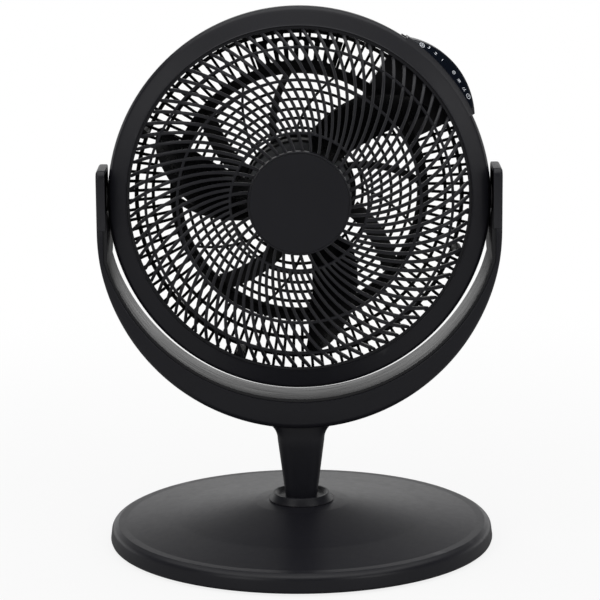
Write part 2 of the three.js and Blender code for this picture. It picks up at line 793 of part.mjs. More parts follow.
function motorCarrier() {
  const face = () => -dishBehind(bandInner);
  const hub = canRadius + seat + 0.4;
  const outer = bandInner - seat;
  const ring = (radius, width) => ringStations(radius, width, face, finDepth);
  const [first, last] = [hub + carrierRim, outer - carrierRim];
  const between = [...Array(carrierRingCount).keys()].map(
    (i) => first + ((last - first) * (i + 1)) / (carrierRingCount + 1));
  const stations = [
    ...ring(hub + carrierRim / 2, carrierRim), ...between.flatMap((radius) => ring(radius, carrierRingWidth)),
    ...ring(outer - carrierRim / 2, carrierRim),
  ];
  const bands = [true, ...between.flatMap(() => [false, true]), false, true];
  const body = pierced({
    ribs: strutCount,
    stations,
    bands,
    angle: (strut, radius) => (strut * 360) / strutCount + strutSweep * (radius - bandInner) + strutStart,
    width: (strut, radius) => (strut % 2 ? strutThin
      : strutWide + (strutFlare * (radius - hub)) / (outer - hub)),
    keel: false,
  });
  return mesh('motor_carrier', body, 'innerBlack');
}

function grillePosts() {
  return postAngles.map((degrees, i) => {
    const front = domeForward(grilleEdge) - grilleRimDepth - seat;
    const back = dishBehind(postCircle + postRadius) - seat;
    const post = turned([[0, -front], [postRadius, -front], [postRadius, back], [0, back]], 8);
    post.translate(...polar(postCircle, degrees, 0));
    return mesh(`grille_post_${i + 1}`, post, 'innerBlack');
  });
}

// ---------------------------------------------------------------- control pod

// Outer radius of the bulge at an angle, never less than the pod's low ends.
function bulgeRadius(degrees) {
  const centre = rimRadius - podBulgeInset;
  const along = centre * Math.cos(rad(degrees - podBulgeAngle));
  const off = centre * Math.sin(rad(degrees - podBulgeAngle));
  const reach = podBulgeRadius * podBulgeRadius - off * off;
  const bulge = reach > 0 ? along + Math.sqrt(reach) : 0;
  return Math.max(bulge, rimRadius + podStep);
}

function podAngles(from, to, count) {
  return [...Array(count + 1).keys()].map((i) => from + ((to - from) * i) / count);
}

const podInner = rimRadius + podClearance;

// How far the pod's slanted face has run back at a radius.
function podFaceBehind(radius) {
  const slope = podFace / (bulgeRadius(podBulgeAngle) - podInner - podLand);
  return Math.max(radius - podInner - podLand, 0) * slope - podFront;
}

function controlPod() {
  const foot = housingBack + 2 * podLand;
  const lip = 8;
  const hoop = podAngles(podFrom, podTo, 12).map((degrees) => {
    const outer = bulgeRadius(degrees);
    const land = Math.min(podInner + podLand, outer - seat);
    return [
      [podInner, -podFront], [land, -podFront], [outer, podFaceBehind(outer)],
      [outer, foot + podLand], [outer - podStep, podBack - lip], [podInner - lip, podBack - lip],
      [podInner - lip, foot + podLand], [podInner, foot],
    ].map(([r, y]) => polar(r, degrees, y));
  });
  const boxInner = bandOuter + 2 * seat;
  const boxOuter = rearRimInner - 2 * seat;
  const slab = (r1, r2, y1, y2) => lofted(podAngles(boxFrom, boxTo, 5).map((degrees) => [
    [r1, y1], [r2, y1], [r2, y2], [r1, y2]].map(([r, y]) => polar(r, degrees, y))));
  const behindRim = dishBehind(rearRimInner) + finDepth + 2 * podLand;
  const box = slab(boxInner, boxOuter, dishBehind((boxInner + boxOuter) / 2), podBack);
  const bridge = slab(boxOuter - lip, podInner, behindRim, podBack - lip);
  const recess = lofted(panelSections(-seat, lip, seat));
  return mesh('control_pod', cut(joined(lofted(hoop), box, bridge), recess), 'satinBlack');
}

// The panel lies in the pod's slanted face, inside a thin frame, and narrows to its ends.
//   sink  how far below the panel's seat the solid starts, rise  how far above it, grow  extra width
function panelSections(sink, rise, grow) {
  const ends = 3;
  return podAngles(podFrom + ends - grow, podTo - ends + grow, 10).map((degrees) => {
    const low = podInner + podLand + panelEdge - grow;
    const high = Math.max(bulgeRadius(degrees) - panelEdge + grow, low + 1 + 2 * grow);
    const base = (r) => podFaceBehind(r) + panelThickness;
    const across = [low, high];
    const under = across.map((r) => polar(r, degrees, base(r) - sink));
    const face = across.map((r) => polar(r, degrees, base(r) - rise)).reverse();
    return [...under, ...face];
  });
}

function controlPanel() {
  return mesh('control_panel', lofted(panelSections(0, panelThickness, 0)), 'glossPanel');
}

// ---------------------------------------------------------------- fan and motor

// Edges of a blade in degrees at a radius: a nearly upright leading edge and a swept trailing edge.
function bladeEdges(radius) {
  const lead = bladeLead - 0.094 * (radius - bladeWidest);
  const share = Math.min(1, (bladeTip - radius) / (bladeTip - bladeWidest));
  return [lead, lead + bladeTipChord + (bladeChord - bladeTipChord) * share ** 0.8];
}

function bladeSolid(index) {
  const root = hubRadius - 1.5 * hubWall;
  const radii = [0, 0.18, 0.36, 0.54, 0.72, 0.88, 1].map((share) => root + (bladeTip - root) * share);
  const across = [0, 0.3, 0.65, 1];
  const outlines = radii.map((radius) => {
    const [lead, trail] = bladeEdges(radius);
    const reach = (bladeTip - radius) / (bladeTip - hubRadius);
    const half = bladeTipPitch + (bladeRootPitch - bladeTipPitch) * Math.min(reach, 1);
    const skin = (side) => across.map((share) => {
      const thick = (side * bladeThickness * (0.35 + 2.2 * share * (1 - share))) / 2;
      const camber = -bladeCamber * share * (1 - share);
      const y = half - 2 * half * share + camber + thick;
      return polar(radius, lead + (trail - lead) * share + (index * 360) / bladeCount, y);
    });
    return [...skin(-1), ...skin(1).reverse()];
  });
  return lofted(outlines);
}

function fanBlades() {
  const bore = shaftRadius + seat;
  const inner = hubRadius - hubWall;
  const [nose, skin] = [6 - hubFront, 3 * hubWall - hubFront];
  const sleeveBack = hubBack - hubWall;
  const hub = turned([
    [bore, -hubFront], [0.75 * hubRadius, 1 - hubFront], [hubRadius, nose + hubWall + 2],
    [hubRadius, hubBack], [inner, hubBack], [inner, skin + 5], [hubSleeve, skin + 1],
    [hubSleeve, sleeveBack], [bore, sleeveBack],
  ], motorSegments);
  const cavity = turned([[hubSleeve, skin + 1], [inner, skin + 5], [inner, 2 * hubBack + bladeRootPitch],
    [hubSleeve, 2 * hubBack + bladeRootPitch]], motorSegments);
  const blades = [...Array(bladeCount).keys()].map((i) => cut(bladeSolid(i), cavity));
  return mesh('fan_blades', joined(hub, ...blades), 'innerBlack');
}

function bladeNut() {
  const back = -hubFront - seat;
  const bore = shaftRadius + seat;
  const rim = bore + 6;
  const profile = [[bore, back], [rim, back], [rim - 1, back - nutNose], [bore, back - nutNose]];
  return mesh('blade_nut', turned(profile, 12), 'innerBlack');
}

function motorShaft() {
  const [front, back] = [-hubFront - shaftNose, canBack - canWall - seat - 1];
  const profile = [[0, front], [shaftRadius, front], [shaftRadius, back], [0, back]];
  return mesh('motor_shaft', turned(profile, 10), 'steel');
}

function motorPlate() {
  const rim = canRadius - canWall - seat;
  const bore = shaftRadius + 3 * runningGap;
  const boss = motorFront + plateWall + bearingLength;
  const profile = [[bore, motorFront], [rim, motorFront], [rim, motorFront + plateWall],
    [bearingRadius + bearingWall, boss], [bearingRadius + seat, boss],
    [bearingRadius + seat, motorFront + 2], [bore, motorFront + 2]];
  return mesh('motor_plate', turned(profile, motorSegments), 'steel');
}

function motorCan() {
  const inner = canRadius - canWall;
  const flangeRim = canRadius + canFlangeWidth;
  const flangeFace = dishBehind(bandInner) + finDepth + seat;
  const flangeBack = flangeFace + canFlangeThickness;
  const floor = canBack - canWall;
  const profile = [
    [0, floor], [bearingRadius + seat, floor], [bearingRadius + seat, floor - bearingLength],
    [bearingRadius + bearingWall, floor], [inner - canRound, floor], [inner, canBack - canRound],
    [inner, motorFront], [canRadius, motorFront], [canRadius, flangeFace], [flangeRim, flangeFace],
    [flangeRim, flangeBack], [canRadius, flangeBack], [canRadius, canBack - canRound],
    [canRadius - canRound, canBack], [0, canBack],
  ];
  const vents = [...Array(ventCount).keys()].map((i) => {
    const vent = new THREE.BoxGeometry(ventWidth, 4 * canWall, ventLength);
    vent.translate(0, canBack, ventCircle).rotateY((i * 2 * Math.PI) / ventCount);
    return closedFrom(vent);
  });
  return mesh('motor_can', cut(turned(profile, motorSegments), ...vents), 'innerBlack');
}

const stackFront = motorFront + plateWall + bearingLength + stackGap;

function motorStator() {
  const rim = canRadius - canWall - 2 * seat;
  const back = stackFront + stackLength;
  const profile = [[stackInner, stackFront], [rim, stackFront], [rim, back], [stackInner, back]];
  return mesh('motor_stator', turned(profile, motorSegments), 'steel');
}

function motorRotor() {
  const bore = shaftRadius + seat;
  const rim = stackInner - 2 * runningGap;
  const back = stackFront + stackLength;
  const profile = [[bore, stackFront], [rim, stackFront], [rim, back], [bore, back]];
  return mesh('motor_rotor', turned(profile, motorSegments), 'steel');
}

function motorBearing(name, front) {
  const bore = shaftRadius + runningGap;
  const profile = [[bore, front], [bearingRadius, front], [bearingRadius, front + bearingLength - 2 * seat],
    [bore, front + bearingLength - 2 * seat]];
  return mesh(name, turned(profile, 12), 'steel');
}

// ---------------------------------------------------------------- assembly

function buildStand() {
  const stand = new THREE.Group();
  stand.add(baseCover(), basePlate(), baseWeight(), ...baseFeet(), neckCollar());
  stand.add(neckBolt(), neckWasher(), neckNut(), yoke(), yokeLiner());
  stand.add(yokeCap('yoke_cap_left', -1), yokeCap('yoke_cap_right', 1));
  return stand;
}

function buildHead() {
  const head = new THREE.Group();
  head.add(frontBezel(), frontGrille(), centreCap(), rearHousing(), rearGrille(), rearGrip());
  head.add(motorCarrier(), ...grillePosts(), controlPod(), controlPanel());
  head.add(motorCan(), motorPlate(), motorStator());
  head.add(motorBearing('motor_bearing_front', motorFront + 2 + seat));
  head.add(motorBearing('motor_bearing_rear', canBack - canWall - bearingLength + seat));
  head.add(pivotBolt('pivot_bolt_left', -1), pivotBolt('pivot_bolt_right', 1));
  head.add(pivotWasher('pivot_washer_left', -1), pivotWasher('pivot_washer_right', 1));
  head.add(motorShaft(), motorRotor(), fanBlades(), bladeNut());
  head.position.set(0, 0, pivotHeight);
  head.rotation.x = -rad(restTilt);
  return head;
}

const fan = new THREE.Group();
fan.add(buildStand(), buildHead());
export default fan;
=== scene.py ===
"""Looks of an air circulator fan: a drum head with spiral-ribbed grilles that tilts in a U-shaped
yoke on a round weighted base. Metres, +Z up, front of the fan towards -Y."""

import json
import math

import bmesh
import bpy
from mathutils import Matrix, Vector


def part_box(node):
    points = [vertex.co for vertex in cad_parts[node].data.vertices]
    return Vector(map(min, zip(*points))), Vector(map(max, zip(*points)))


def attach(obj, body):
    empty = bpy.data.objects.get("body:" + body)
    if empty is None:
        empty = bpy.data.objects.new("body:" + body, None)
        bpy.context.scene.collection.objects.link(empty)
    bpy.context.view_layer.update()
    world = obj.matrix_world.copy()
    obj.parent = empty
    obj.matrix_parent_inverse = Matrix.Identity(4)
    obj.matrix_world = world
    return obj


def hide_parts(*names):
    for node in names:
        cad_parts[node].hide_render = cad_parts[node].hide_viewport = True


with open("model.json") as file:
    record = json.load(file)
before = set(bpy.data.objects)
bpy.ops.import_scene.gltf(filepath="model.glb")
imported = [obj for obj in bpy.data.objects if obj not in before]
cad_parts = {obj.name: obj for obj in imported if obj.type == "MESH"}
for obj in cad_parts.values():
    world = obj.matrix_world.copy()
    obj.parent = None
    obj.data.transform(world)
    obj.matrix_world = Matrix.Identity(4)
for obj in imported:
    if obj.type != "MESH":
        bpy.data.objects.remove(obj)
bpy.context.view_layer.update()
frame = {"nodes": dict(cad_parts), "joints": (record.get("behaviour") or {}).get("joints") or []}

MM = 0.001

# ---------- the view
# A long lens straight in front of the fan and a little above it, as in a shop photograph. The picture
# is square, and the camera looks down on the base.

VIEW_DISTANCE = 2.7
VIEW_HEIGHT = 0.816
VIEW_DOWN = math.radians(11.882)
VIEW_ROLL = math.radians(-0.42)
VIEW_LENS = 165.2

lens = bpy.data.cameras.new("camera")
lens.lens = VIEW_LENS
lens.sensor_width = 36
lens.clip_end = 50
camera = bpy.data.objects.new("camera", lens)
bpy.context.scene.collection.objects.link(camera)
camera.matrix_world = (
    Matrix.Translation(Vector((0, -VIEW_DISTANCE, VIEW_HEIGHT)))
    @ Matrix.Rotation(math.pi / 2 - VIEW_DOWN, 4, "X")
    @ Matrix.Rotation(VIEW_ROLL, 4, "Z")
)
bpy.context.scene.camera = camera
bpy.context.scene.view_settings.view_transform = "Standard"

# ---------- base cover
# The domed round cover of the base, injection moulded in black plastic with a fine satin texture. It
# clips over the weight and the base plate, and the neck is bolted through its flat middle.


def node_box(node):
    """Lowest and highest corner of a solid of the frame, in millimetres."""
    return [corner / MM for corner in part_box(node)]


def eased(corners, arc_steps=5):
    """An outline in which each corner that carries a third value is rounded to that radius, as far as
    the edges beside it reach."""
    outline = []
    for i, (u, v, *rounding) in enumerate(corners):
        corner = Vector((u, v))
        if not rounding:
            outline.append(corner)
            continue
        back = Vector(corners[i - 1][:2]) - corner
        ahead = Vector(corners[(i + 1) % len(corners)][:2]) - corner
        half = back.angle(ahead) / 2
        reach = min(rounding[0] / math.tan(half), 0.49 * back.length, 0.49 * ahead.length)
        radius = reach * math.tan(half)
        start, end = corner + back.normalized() * reach, corner + ahead.normalized() * reach
        centre = corner + (back.normalized() + ahead.normalized()).normalized() * (radius / math.sin(half))
        for k in range(arc_steps + 1):
            between = start.lerp(end, k / arc_steps) - centre
            outline.append(centre + between.normalized() * radius)
    return outline


CREASE = math.radians(30)


class Moulding:
    """Gathers the skin of one piece from turned rings and bars, in the piece's own axes in millimetres."""

    def __init__(self):
        self.points, self.faces = [], []

    def skin(self, rows, closed_rows=False):
        """Faces between rows of points, each a closed loop; the ends are capped unless they join."""
        first, size = len(self.points), len(rows[0])
        self.points += [tuple(p) for row in rows for p in row]
        spans = len(rows) if closed_rows else len(rows) - 1
        for k in range(spans):
            a, b = first + k * size, first + (k + 1) % len(rows) * size
            for i in range(size):
                j = (i + 1) % size
                self.faces.append((a + i, a + j, b + j, b + i))
        if not closed_rows:
            self.faces.append(tuple(first + i for i in reversed(range(size))))
            self.faces.append(tuple(first + (len(rows) - 1) * size + i for i in range(size)))
        return self

    def turn(self, profile, steps=180):
        """A ring or disc about Y from an outline of (radius, y)."""
        outline = eased(profile)
        turns = [2 * math.pi * k / steps for k in range(steps)]
        rows = [[(r * math.cos(a), y, r * math.sin(a)) for r, y in outline] for a in turns]
        return self.skin(rows, closed_rows=True)

    def piece(self, name, body, slot, material, replaced=(), place=Matrix()):
        """The finished object, riding on its body and standing for its nodes."""
        mesh = bpy.data.meshes.new(name)
        mesh.from_pydata(self.points, [], self.faces)
        mesh.transform(place @ Matrix.Scale(MM, 4))
        work = bmesh.new()
        work.from_mesh(mesh)
        bmesh.ops.remove_doubles(work, verts=work.verts, dist=1e-6)
        bmesh.ops.dissolve_degenerate(work, edges=work.edges, dist=1e-7)
        bmesh.ops.recalc_face_normals(work, faces=work.faces)
        work.to_mesh(mesh)
        work.free()
        mesh.shade_smooth()
        mesh.set_sharp_from_angle(angle=CREASE)
        mesh.materials.append(material)
        made = bpy.data.objects.new(name, mesh)
        bpy.context.scene.collection.objects.link(made)
        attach(made, body)
        if replaced:
            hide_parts(*replaced)
        return made


def nodes_in(tree):
    """A short way to add a node with its inputs: a value sets a socket and a socket is linked to it."""

    def add(kind, settings=None, **inputs):
        node = tree.nodes.new(kind)
        for key, value in (settings or {}).items():
            setattr(node, key, value)
        for key, value in inputs.items():
            socket = node.inputs[int(key[1:])] if key[0] == "_" else node.inputs[key.replace("_", " ")]
            if isinstance(value, bpy.types.NodeSocket):
                tree.links.new(value, socket)
            else:
                socket.default_value = value
        return node

    return add


def wire(tree, node, **values):
    """Links outputs to a node's sockets; an underline stands for the space in a socket's name."""
    for name, value in values.items():
        tree.links.new(value, node.inputs[name.replace("_", " ")])


def new_material(name):
    """A new material, its node tree, a way to add nodes to it, and its shader."""
    material = bpy.data.materials.new(name)
    material.use_nodes = True
    tree = material.node_tree
    return material, tree, nodes_in(tree), tree.nodes["Principled BSDF"]


def new_group(name, inputs, outputs):
    """An empty node group with named float or colour sockets: (name, kind, default)."""
    group = bpy.data.node_groups.new(name, "ShaderNodeTree")
    for label, kind, default in inputs:
        group.interface.new_socket(label, in_out="INPUT", socket_type=kind).default_value = default
    for label, kind in outputs:
        group.interface.new_socket(label, in_out="OUTPUT", socket_type=kind)
    return group


def moulded_skin():
    """Moulded plastic: a fine etched grain, faint flow marks, and edges polished a little by handling."""
    group = new_group(
        "moulded skin",
        [("Colour", "NodeSocketColor", (0.02, 0.02, 0.02, 1)), ("Roughness", "NodeSocketFloat", 0.4),
         ("Grain per metre", "NodeSocketFloat", 1500), ("Grain depth", "NodeSocketFloat", 1),
         ("Flow marks", "NodeSocketFloat", 0.2), ("Edge polish", "NodeSocketFloat", 0.3)],
        [("Colour", "NodeSocketColor"), ("Roughness", "NodeSocketFloat"), ("Height", "NodeSocketFloat")])
    add = nodes_in(group)
    given = group.nodes.new("NodeGroupInput").outputs
    place = add("ShaderNodeTexCoord").outputs["Object"]
    grain = add("ShaderNodeTexNoise", Vector=place, Scale=given["Grain per metre"], Detail=2, Roughness=0.6)
    flow = add("ShaderNodeTexNoise", Vector=place, Scale=11, Detail=3, Distortion=0.6)
    smear = add("ShaderNodeTexNoise", Vector=place, Scale=140, Detail=4)
    shade = add("ShaderNodeMapRange", Value=flow.outputs["Fac"], _1=0.3, _2=0.7, _3=-0.5, _4=0.5)
    amount = add("ShaderNodeMath", {"operation": "MULTIPLY_ADD"}, _0=shade.outputs[0],
                 _1=given["Flow marks"], _2=1.0)
    toned = add("ShaderNodeVectorMath", {"operation": "SCALE"}, _0=given["Colour"], _3=amount.outputs[0])
    edge = add("ShaderNodeMapRange", Value=add("ShaderNodeNewGeometry").outputs["Pointiness"],
               _1=0.52, _2=0.62, _3=0.0, _4=1.0)
    polish = add("ShaderNodeMath", {"operation": "MULTIPLY"}, _0=edge.outputs[0], _1=given["Edge polish"])
    lighter = add("ShaderNodeMix", {"data_type": "RGBA"}, _0=polish.outputs[0], _6=toned.outputs[0],
                  _7=(0.09, 0.09, 0.095, 1))
    rub = add("ShaderNodeMath", {"operation": "MULTIPLY_ADD"}, _0=smear.outputs["Fac"], _1=0.10, _2=-0.05)
    rough = add("ShaderNodeMath", {"operation": "ADD"}, _0=given["Roughness"], _1=rub.outputs[0])
    worn = add("ShaderNodeMath", {"operation": "MULTIPLY_ADD"}, _0=polish.outputs[0], _1=-0.12,
               _2=rough.outputs[0])
    height = add("ShaderNodeMath", {"operation": "MULTIPLY"}, _0=grain.outputs["Fac"],
                 _1=given["Grain depth"])
    wire(group, group.nodes.new("NodeGroupOutput"), Colour=lighter.outputs[2], Roughness=worn.outputs[0],
         Height=height.outputs[0])
    return group


MOULDED_SKIN = moulded_skin()


def plastic(name, colour, roughness, grain=1500, depth=1.0, flow=0.2, polish=0.25, bump=0.25):
    """A plastic finish; the grain's depth and size are those of the mould's etched wall."""
    material, tree, add, shader = new_material(name)
    skin = add("ShaderNodeGroup", {"node_tree": MOULDED_SKIN}, Colour=(*colour, 1), Roughness=roughness,
               Grain_per_metre=grain, Grain_depth=depth, Flow_marks=flow, Edge_polish=polish)
    relief = add("ShaderNodeBump", Strength=bump, Distance=0.0002, Height=skin.outputs["Height"])
    wire(tree, shader, Base_Color=skin.outputs["Colour"], Roughness=skin.outputs["Roughness"],
         Normal=relief.outputs["Normal"])
    return material


UPRIGHT = Matrix.Rotation(math.pi / 2, 4, "X")

SATIN = plastic("satin black plastic", (0.0115, 0.0115, 0.0158), 0.36)

base_low, base_high = node_box("base_cover")
BASE_RADIUS = base_high.x
BASE_TOP = base_high.z
BASE_SKIRT = base_low.z
BASE_WALL = 2.6
RIM_TOP = 21
RIM_INSET = 8
DOME_INSET, DOME_SWELL = 58, 6.4
COLLAR_SEAT = 36
NECK_BOLT_BORE = 6.5
NECK_BOSS_RADIUS, NECK_BOSS_FOOT = 14, 16

dome_edge = BASE_RADIUS - RIM_INSET
seat_height = BASE_TOP - 0.05
(
    Moulding().turn([
        (BASE_RADIUS - 0.9, BASE_SKIRT, 0.5), (BASE_RADIUS, BASE_SKIRT + 2.5, 2),
        (BASE_RADIUS - 1.6, RIM_TOP - 3.4, 7), (dome_edge, RIM_TOP - 0.2, 1.2), (dome_edge - 8, RIM_TOP, 5),
        (dome_edge - DOME_INSET, RIM_TOP + DOME_SWELL, 160), (COLLAR_SEAT + 12, BASE_TOP - 1.2, 30),
        (COLLAR_SEAT, seat_height, 4), (NECK_BOLT_BORE, seat_height), (NECK_BOLT_BORE, NECK_BOSS_FOOT),
        (NECK_BOSS_RADIUS, NECK_BOSS_FOOT), (NECK_BOSS_RADIUS, BASE_TOP - BASE_WALL),
        (dome_edge - 3, RIM_TOP - BASE_WALL - 0.4, 4), (BASE_RADIUS - BASE_WALL - 0.6, BASE_SKIRT),
    ], steps=256)
    .piece("base_cover_skin", "stand", "satin_plastic", SATIN, ["base_cover"], UPRIGHT)
)

# ---------- base plate, weight and feet
# A flat black plate closes the base from below and holds a cast ring that keeps the fan from tipping.
# Six round rubber feet are pressed into it.


def dressed(node, material):
    """A solid of the frame that shows as it is gets its material and smooth shading."""
    shown = frame["nodes"][node]
    shown.data.materials.clear()
    shown.data.materials.append(material)
    shown.data.shade_smooth()
    shown.data.set_sharp_from_angle(angle=CREASE)


def cast_iron():
    """Sand-cast iron: dull grey with a pebbly skin and brown bloom in the hollows."""
    material, tree, add, shader = new_material("cast iron")
    place = add("ShaderNodeTexCoord").outputs["Object"]
    pebbles = add("ShaderNodeTexNoise", Vector=place, Scale=420, Detail=6, Roughness=0.65)
    bloom = add("ShaderNodeTexNoise", Vector=place, Scale=40, Detail=5)
    stain = add("ShaderNodeMapRange", Value=bloom.outputs["Fac"], _1=0.5, _2=0.7)
    tone = add("ShaderNodeMix", {"data_type": "RGBA"}, _0=stain.outputs[0], _6=(0.075, 0.075, 0.078, 1),
               _7=(0.10, 0.055, 0.032, 1))
    rough = add("ShaderNodeMapRange", Value=pebbles.outputs["Fac"], _3=0.6, _4=0.85)
    metal = add("ShaderNodeMapRange", Value=stain.outputs[0], _3=0.8, _4=0.1)
    relief = add("ShaderNodeBump", Strength=0.5, Distance=0.0006, Height=pebbles.outputs["Fac"])
    wire(tree, shader, Base_Color=tone.outputs[2], Roughness=rough.outputs[0], Metallic=metal.outputs[0],
         Normal=relief.outputs[0])
    return material


INNER = plastic("matt black plastic", (0.0105, 0.0105, 0.0118), 0.5, polish=0.15)
RUBBER = plastic("foot rubber", (0.014, 0.014, 0.014), 0.78, grain=3200, depth=1.2, flow=0.3, bump=0.4)

plate_low, plate_high = node_box("base_plate")
PLATE_GAP = 0.4
PLATE_OPENING = 26
PLATE_RIBS = (52, 88, 124)
PLATE_RIB_FOOT, PLATE_RIB_TOP, PLATE_RIB_HEIGHT = 0.9, 0.6, 0.35
plate_edge = plate_high.x - PLATE_GAP
plate = Moulding().turn([
    (PLATE_OPENING, plate_low.z, 0.3), (plate_edge, plate_low.z, 0.5), (plate_edge, plate_high.z),
    (PLATE_OPENING, plate_high.z),
], steps=192)
for radius in PLATE_RIBS:
    plate.turn([(radius - PLATE_RIB_FOOT, plate_low.z + 0.3),
                (radius - PLATE_RIB_TOP, plate_low.z - PLATE_RIB_HEIGHT, 0.3),
                (radius + PLATE_RIB_TOP, plate_low.z - PLATE_RIB_HEIGHT, 0.3),
                (radius + PLATE_RIB_FOOT, plate_low.z + 0.3)], steps=128)
plate.piece("base_plate_skin", "stand", "inner_plastic", INNER, ["base_plate"], UPRIGHT)
dressed("base_weight", cast_iron())

FOOT_COUNT = 6
FOOT_GROOVE = 0.5
for i in range(1, FOOT_COUNT + 1):
    foot = f"base_foot_{i}"
    low, high = node_box(foot)
    middle = (low + high) / 2
    radius = (high.x - low.x) / 2
    (
        Moulding().turn([(0, 0), (radius - 2.6, 0), (radius - 2.2, FOOT_GROOVE, 0.4),
                         (radius - 1.4, 0, 0.4), (radius - 0.7, 0, 0.6), (radius, high.z),
                         (0, high.z)], steps=48)
        .piece(foot + "_skin", "stand", "rubber", RUBBER, [foot],
               Matrix.Translation(Vector((middle.x, middle.y, 0)) * MM) @ UPRIGHT)
    )

# ---------- neck bolt, washer and nut
# The neck stands on the base on one thick bolt. Its washer and hexagon nut sit under the boss of the
# cover and are reached through the hole in the base plate. All three are zinc-plated steel.


def zinc_plate():
    """Zinc-plated steel: a bright skin with fine turning marks and dull patches."""
    material, tree, add, shader = new_material("zinc-plated steel")
    shader.inputs["Metallic"].default_value = 1.0
    place = add("ShaderNodeTexCoord").outputs["Object"]
    spangle = add("ShaderNodeTexVoronoi", Vector=place, Scale=320)
    marks = add("ShaderNodeTexNoise", Vector=place, Scale=900, Detail=4)
    tone = add("ShaderNodeMix", {"data_type": "RGBA"}, _0=spangle.outputs["Distance"],
               _6=(0.52, 0.53, 0.55, 1), _7=(0.38, 0.39, 0.42, 1))
    rough = add("ShaderNodeMapRange", Value=marks.outputs["Fac"], _3=0.22, _4=0.45)
    relief = add("ShaderNodeBump", Strength=0.15, Distance=0.0001, Height=marks.outputs["Fac"])
    wire(tree, shader, Base_Color=tone.outputs[2], Roughness=rough.outputs[0], Normal=relief.outputs[0])
    return material


ZINC = zinc_plate()
for fastener in ("neck_bolt", "neck_washer", "neck_nut"):
    dressed(fastener, ZINC)

# ---------- collar
# A dished trim ring of the same satin plastic hides the joint where the neck meets the base. It has a
# raised rim and a sloping outside, and drops over the neck before it is bolted down.

collar_low, collar_high = node_box("neck_collar")
COLLAR_TOP_INSET = 4.5
COLLAR_RIM = 2.2
COLLAR_DISH, COLLAR_DISH_SLOPE = 3.4, 3
COLLAR_BORE = 15.2
collar_top = collar_high.x - COLLAR_TOP_INSET
dish_floor = collar_high.z - COLLAR_DISH
(
    Moulding().turn([
        (COLLAR_BORE, collar_low.z), (collar_high.x, collar_low.z, 0.4), (collar_top, collar_high.z, 0.9),
        (collar_top - COLLAR_RIM, collar_high.z, 0.8),
        (collar_top - COLLAR_RIM - COLLAR_DISH_SLOPE, dish_floor, 3), (COLLAR_BORE, dish_floor),
    ], steps=96)
    .piece("neck_collar_skin", "stand", "satin_plastic", SATIN, ["neck_collar"], UPRIGHT)
)

# ---------- yoke
# The U-shaped yoke and the neck are one satin black moulding. Its bow is thickest at the bottom, its
# outer edges are well rounded, and a groove inside takes the liner. The neck runs out into the bow.

yoke_low, yoke_high = node_box("yoke")
cap_low, cap_high = node_box("yoke_cap_right")
hinge = next(joint for joint in frame["joints"] if joint["name"] == "head_tilt")
PIVOT = hinge["pos_m"][2] / MM
ARM_INNER = cap_low.x
ARM_OUTER = cap_high.x
ARM_JOINT = cap_low.z
BOW_INSIDE, BOW_INSIDE_SIDEWAYS = 203.2, 203
BOW_DROP = 30.5
BOW_STEPS, ARM_STEPS = 44, 6
YOKE_HALF = yoke_high.y
YOKE_EDGE = 6
YOKE_EDGE_SHARE = 0.62
YOKE_LIP, LIP_ROUND = 2.4, 1.5
LINER, LINER_SEAT = 2.2, 2.6
GROOVE = LINER + 0.3
arm_seat = ARM_INNER + LINER_SEAT
bow_end_drop = BOW_INSIDE * math.sqrt(1 - (arm_seat / BOW_INSIDE_SIDEWAYS) ** 2)
bow_end = math.atan2(arm_seat, bow_end_drop)


def spread(first, last, steps):
    """Evenly spaced values from the first to the last."""
    return [first + (last - first) * k / steps for k in range(steps + 1)]


def bow_reach(turn):
    """Distance of the bow's outside from the tilt axis, at an angle from straight down."""
    drop = BOW_DROP * math.cos(turn)
    return drop + math.sqrt(drop * drop + ARM_OUTER ** 2 - BOW_DROP ** 2)


def bow_stations():
    """Inner and outer point of the bow in front view, from the left arm round to the right one."""
    half = []
    for turn in spread(0, bow_end, BOW_STEPS):
        way = Vector((math.sin(turn), 0, -math.cos(turn)))
        inside = 1 / math.hypot(way.x / BOW_INSIDE_SIDEWAYS, way.z / BOW_INSIDE)
        half.append((way * inside, way * bow_reach(turn)))
    for z in spread(half[-1][0].z, ARM_JOINT - PIVOT, ARM_STEPS)[1:]:
        low = min(z + BOW_DROP, 0)
        half.append((Vector((arm_seat, 0, z)), Vector((math.sqrt(ARM_OUTER ** 2 - low * low), 0, z))))
    mirrored = [tuple(Vector((-p.x, 0, p.z)) for p in pair) for pair in reversed(half[1:])]
    return [tuple(p + Vector((0, 0, PIVOT)) for p in pair) for pair in mirrored + half]


def across_bow(station, corners):
    """One section of the bow: each corner is (outwards from the inner face, depth, rounding)."""
    inner, outer = station
    way = (outer - inner).normalized()
    return [inner + way * u + Vector((0, v, 0)) for u, v in eased(corners)]


def bow_section(station):
    """The bow's section: a rounded bar with the liner's groove between two lips."""
    thick = (station[1] - station[0]).length
    edge = min(YOKE_EDGE, YOKE_EDGE_SHARE * thick)
    lip = YOKE_HALF - YOKE_LIP
    return across_bow(station, [
        (0, -YOKE_HALF, LIP_ROUND), (thick, -YOKE_HALF, edge), (thick, YOKE_HALF, edge),
        (0, YOKE_HALF, LIP_ROUND), (0, lip, 0.3), (GROOVE, lip), (GROOVE, -lip), (0, -lip, 0.3)])


NECK_FOOT, NECK_TOP = 15.5, 23.7
NECK_DEPTH = 0.92
NECK_SQUARENESS = 0.62
NECK_STEPS, FLARE_STEPS = 10, 12
FLARE = 20


def neck_ring(z, half_width, half_depth):
    """A level of the neck: a rectangle with very round corners."""
    ring = []
    for turn in spread(0, 2 * math.pi, 64)[:-1]:
        c, s = math.cos(turn), math.sin(turn)
        ring.append((math.copysign(abs(c) ** NECK_SQUARENESS, c) * half_width,
                     math.copysign(abs(s) ** NECK_SQUARENESS, s) * half_depth, z))
    return ring


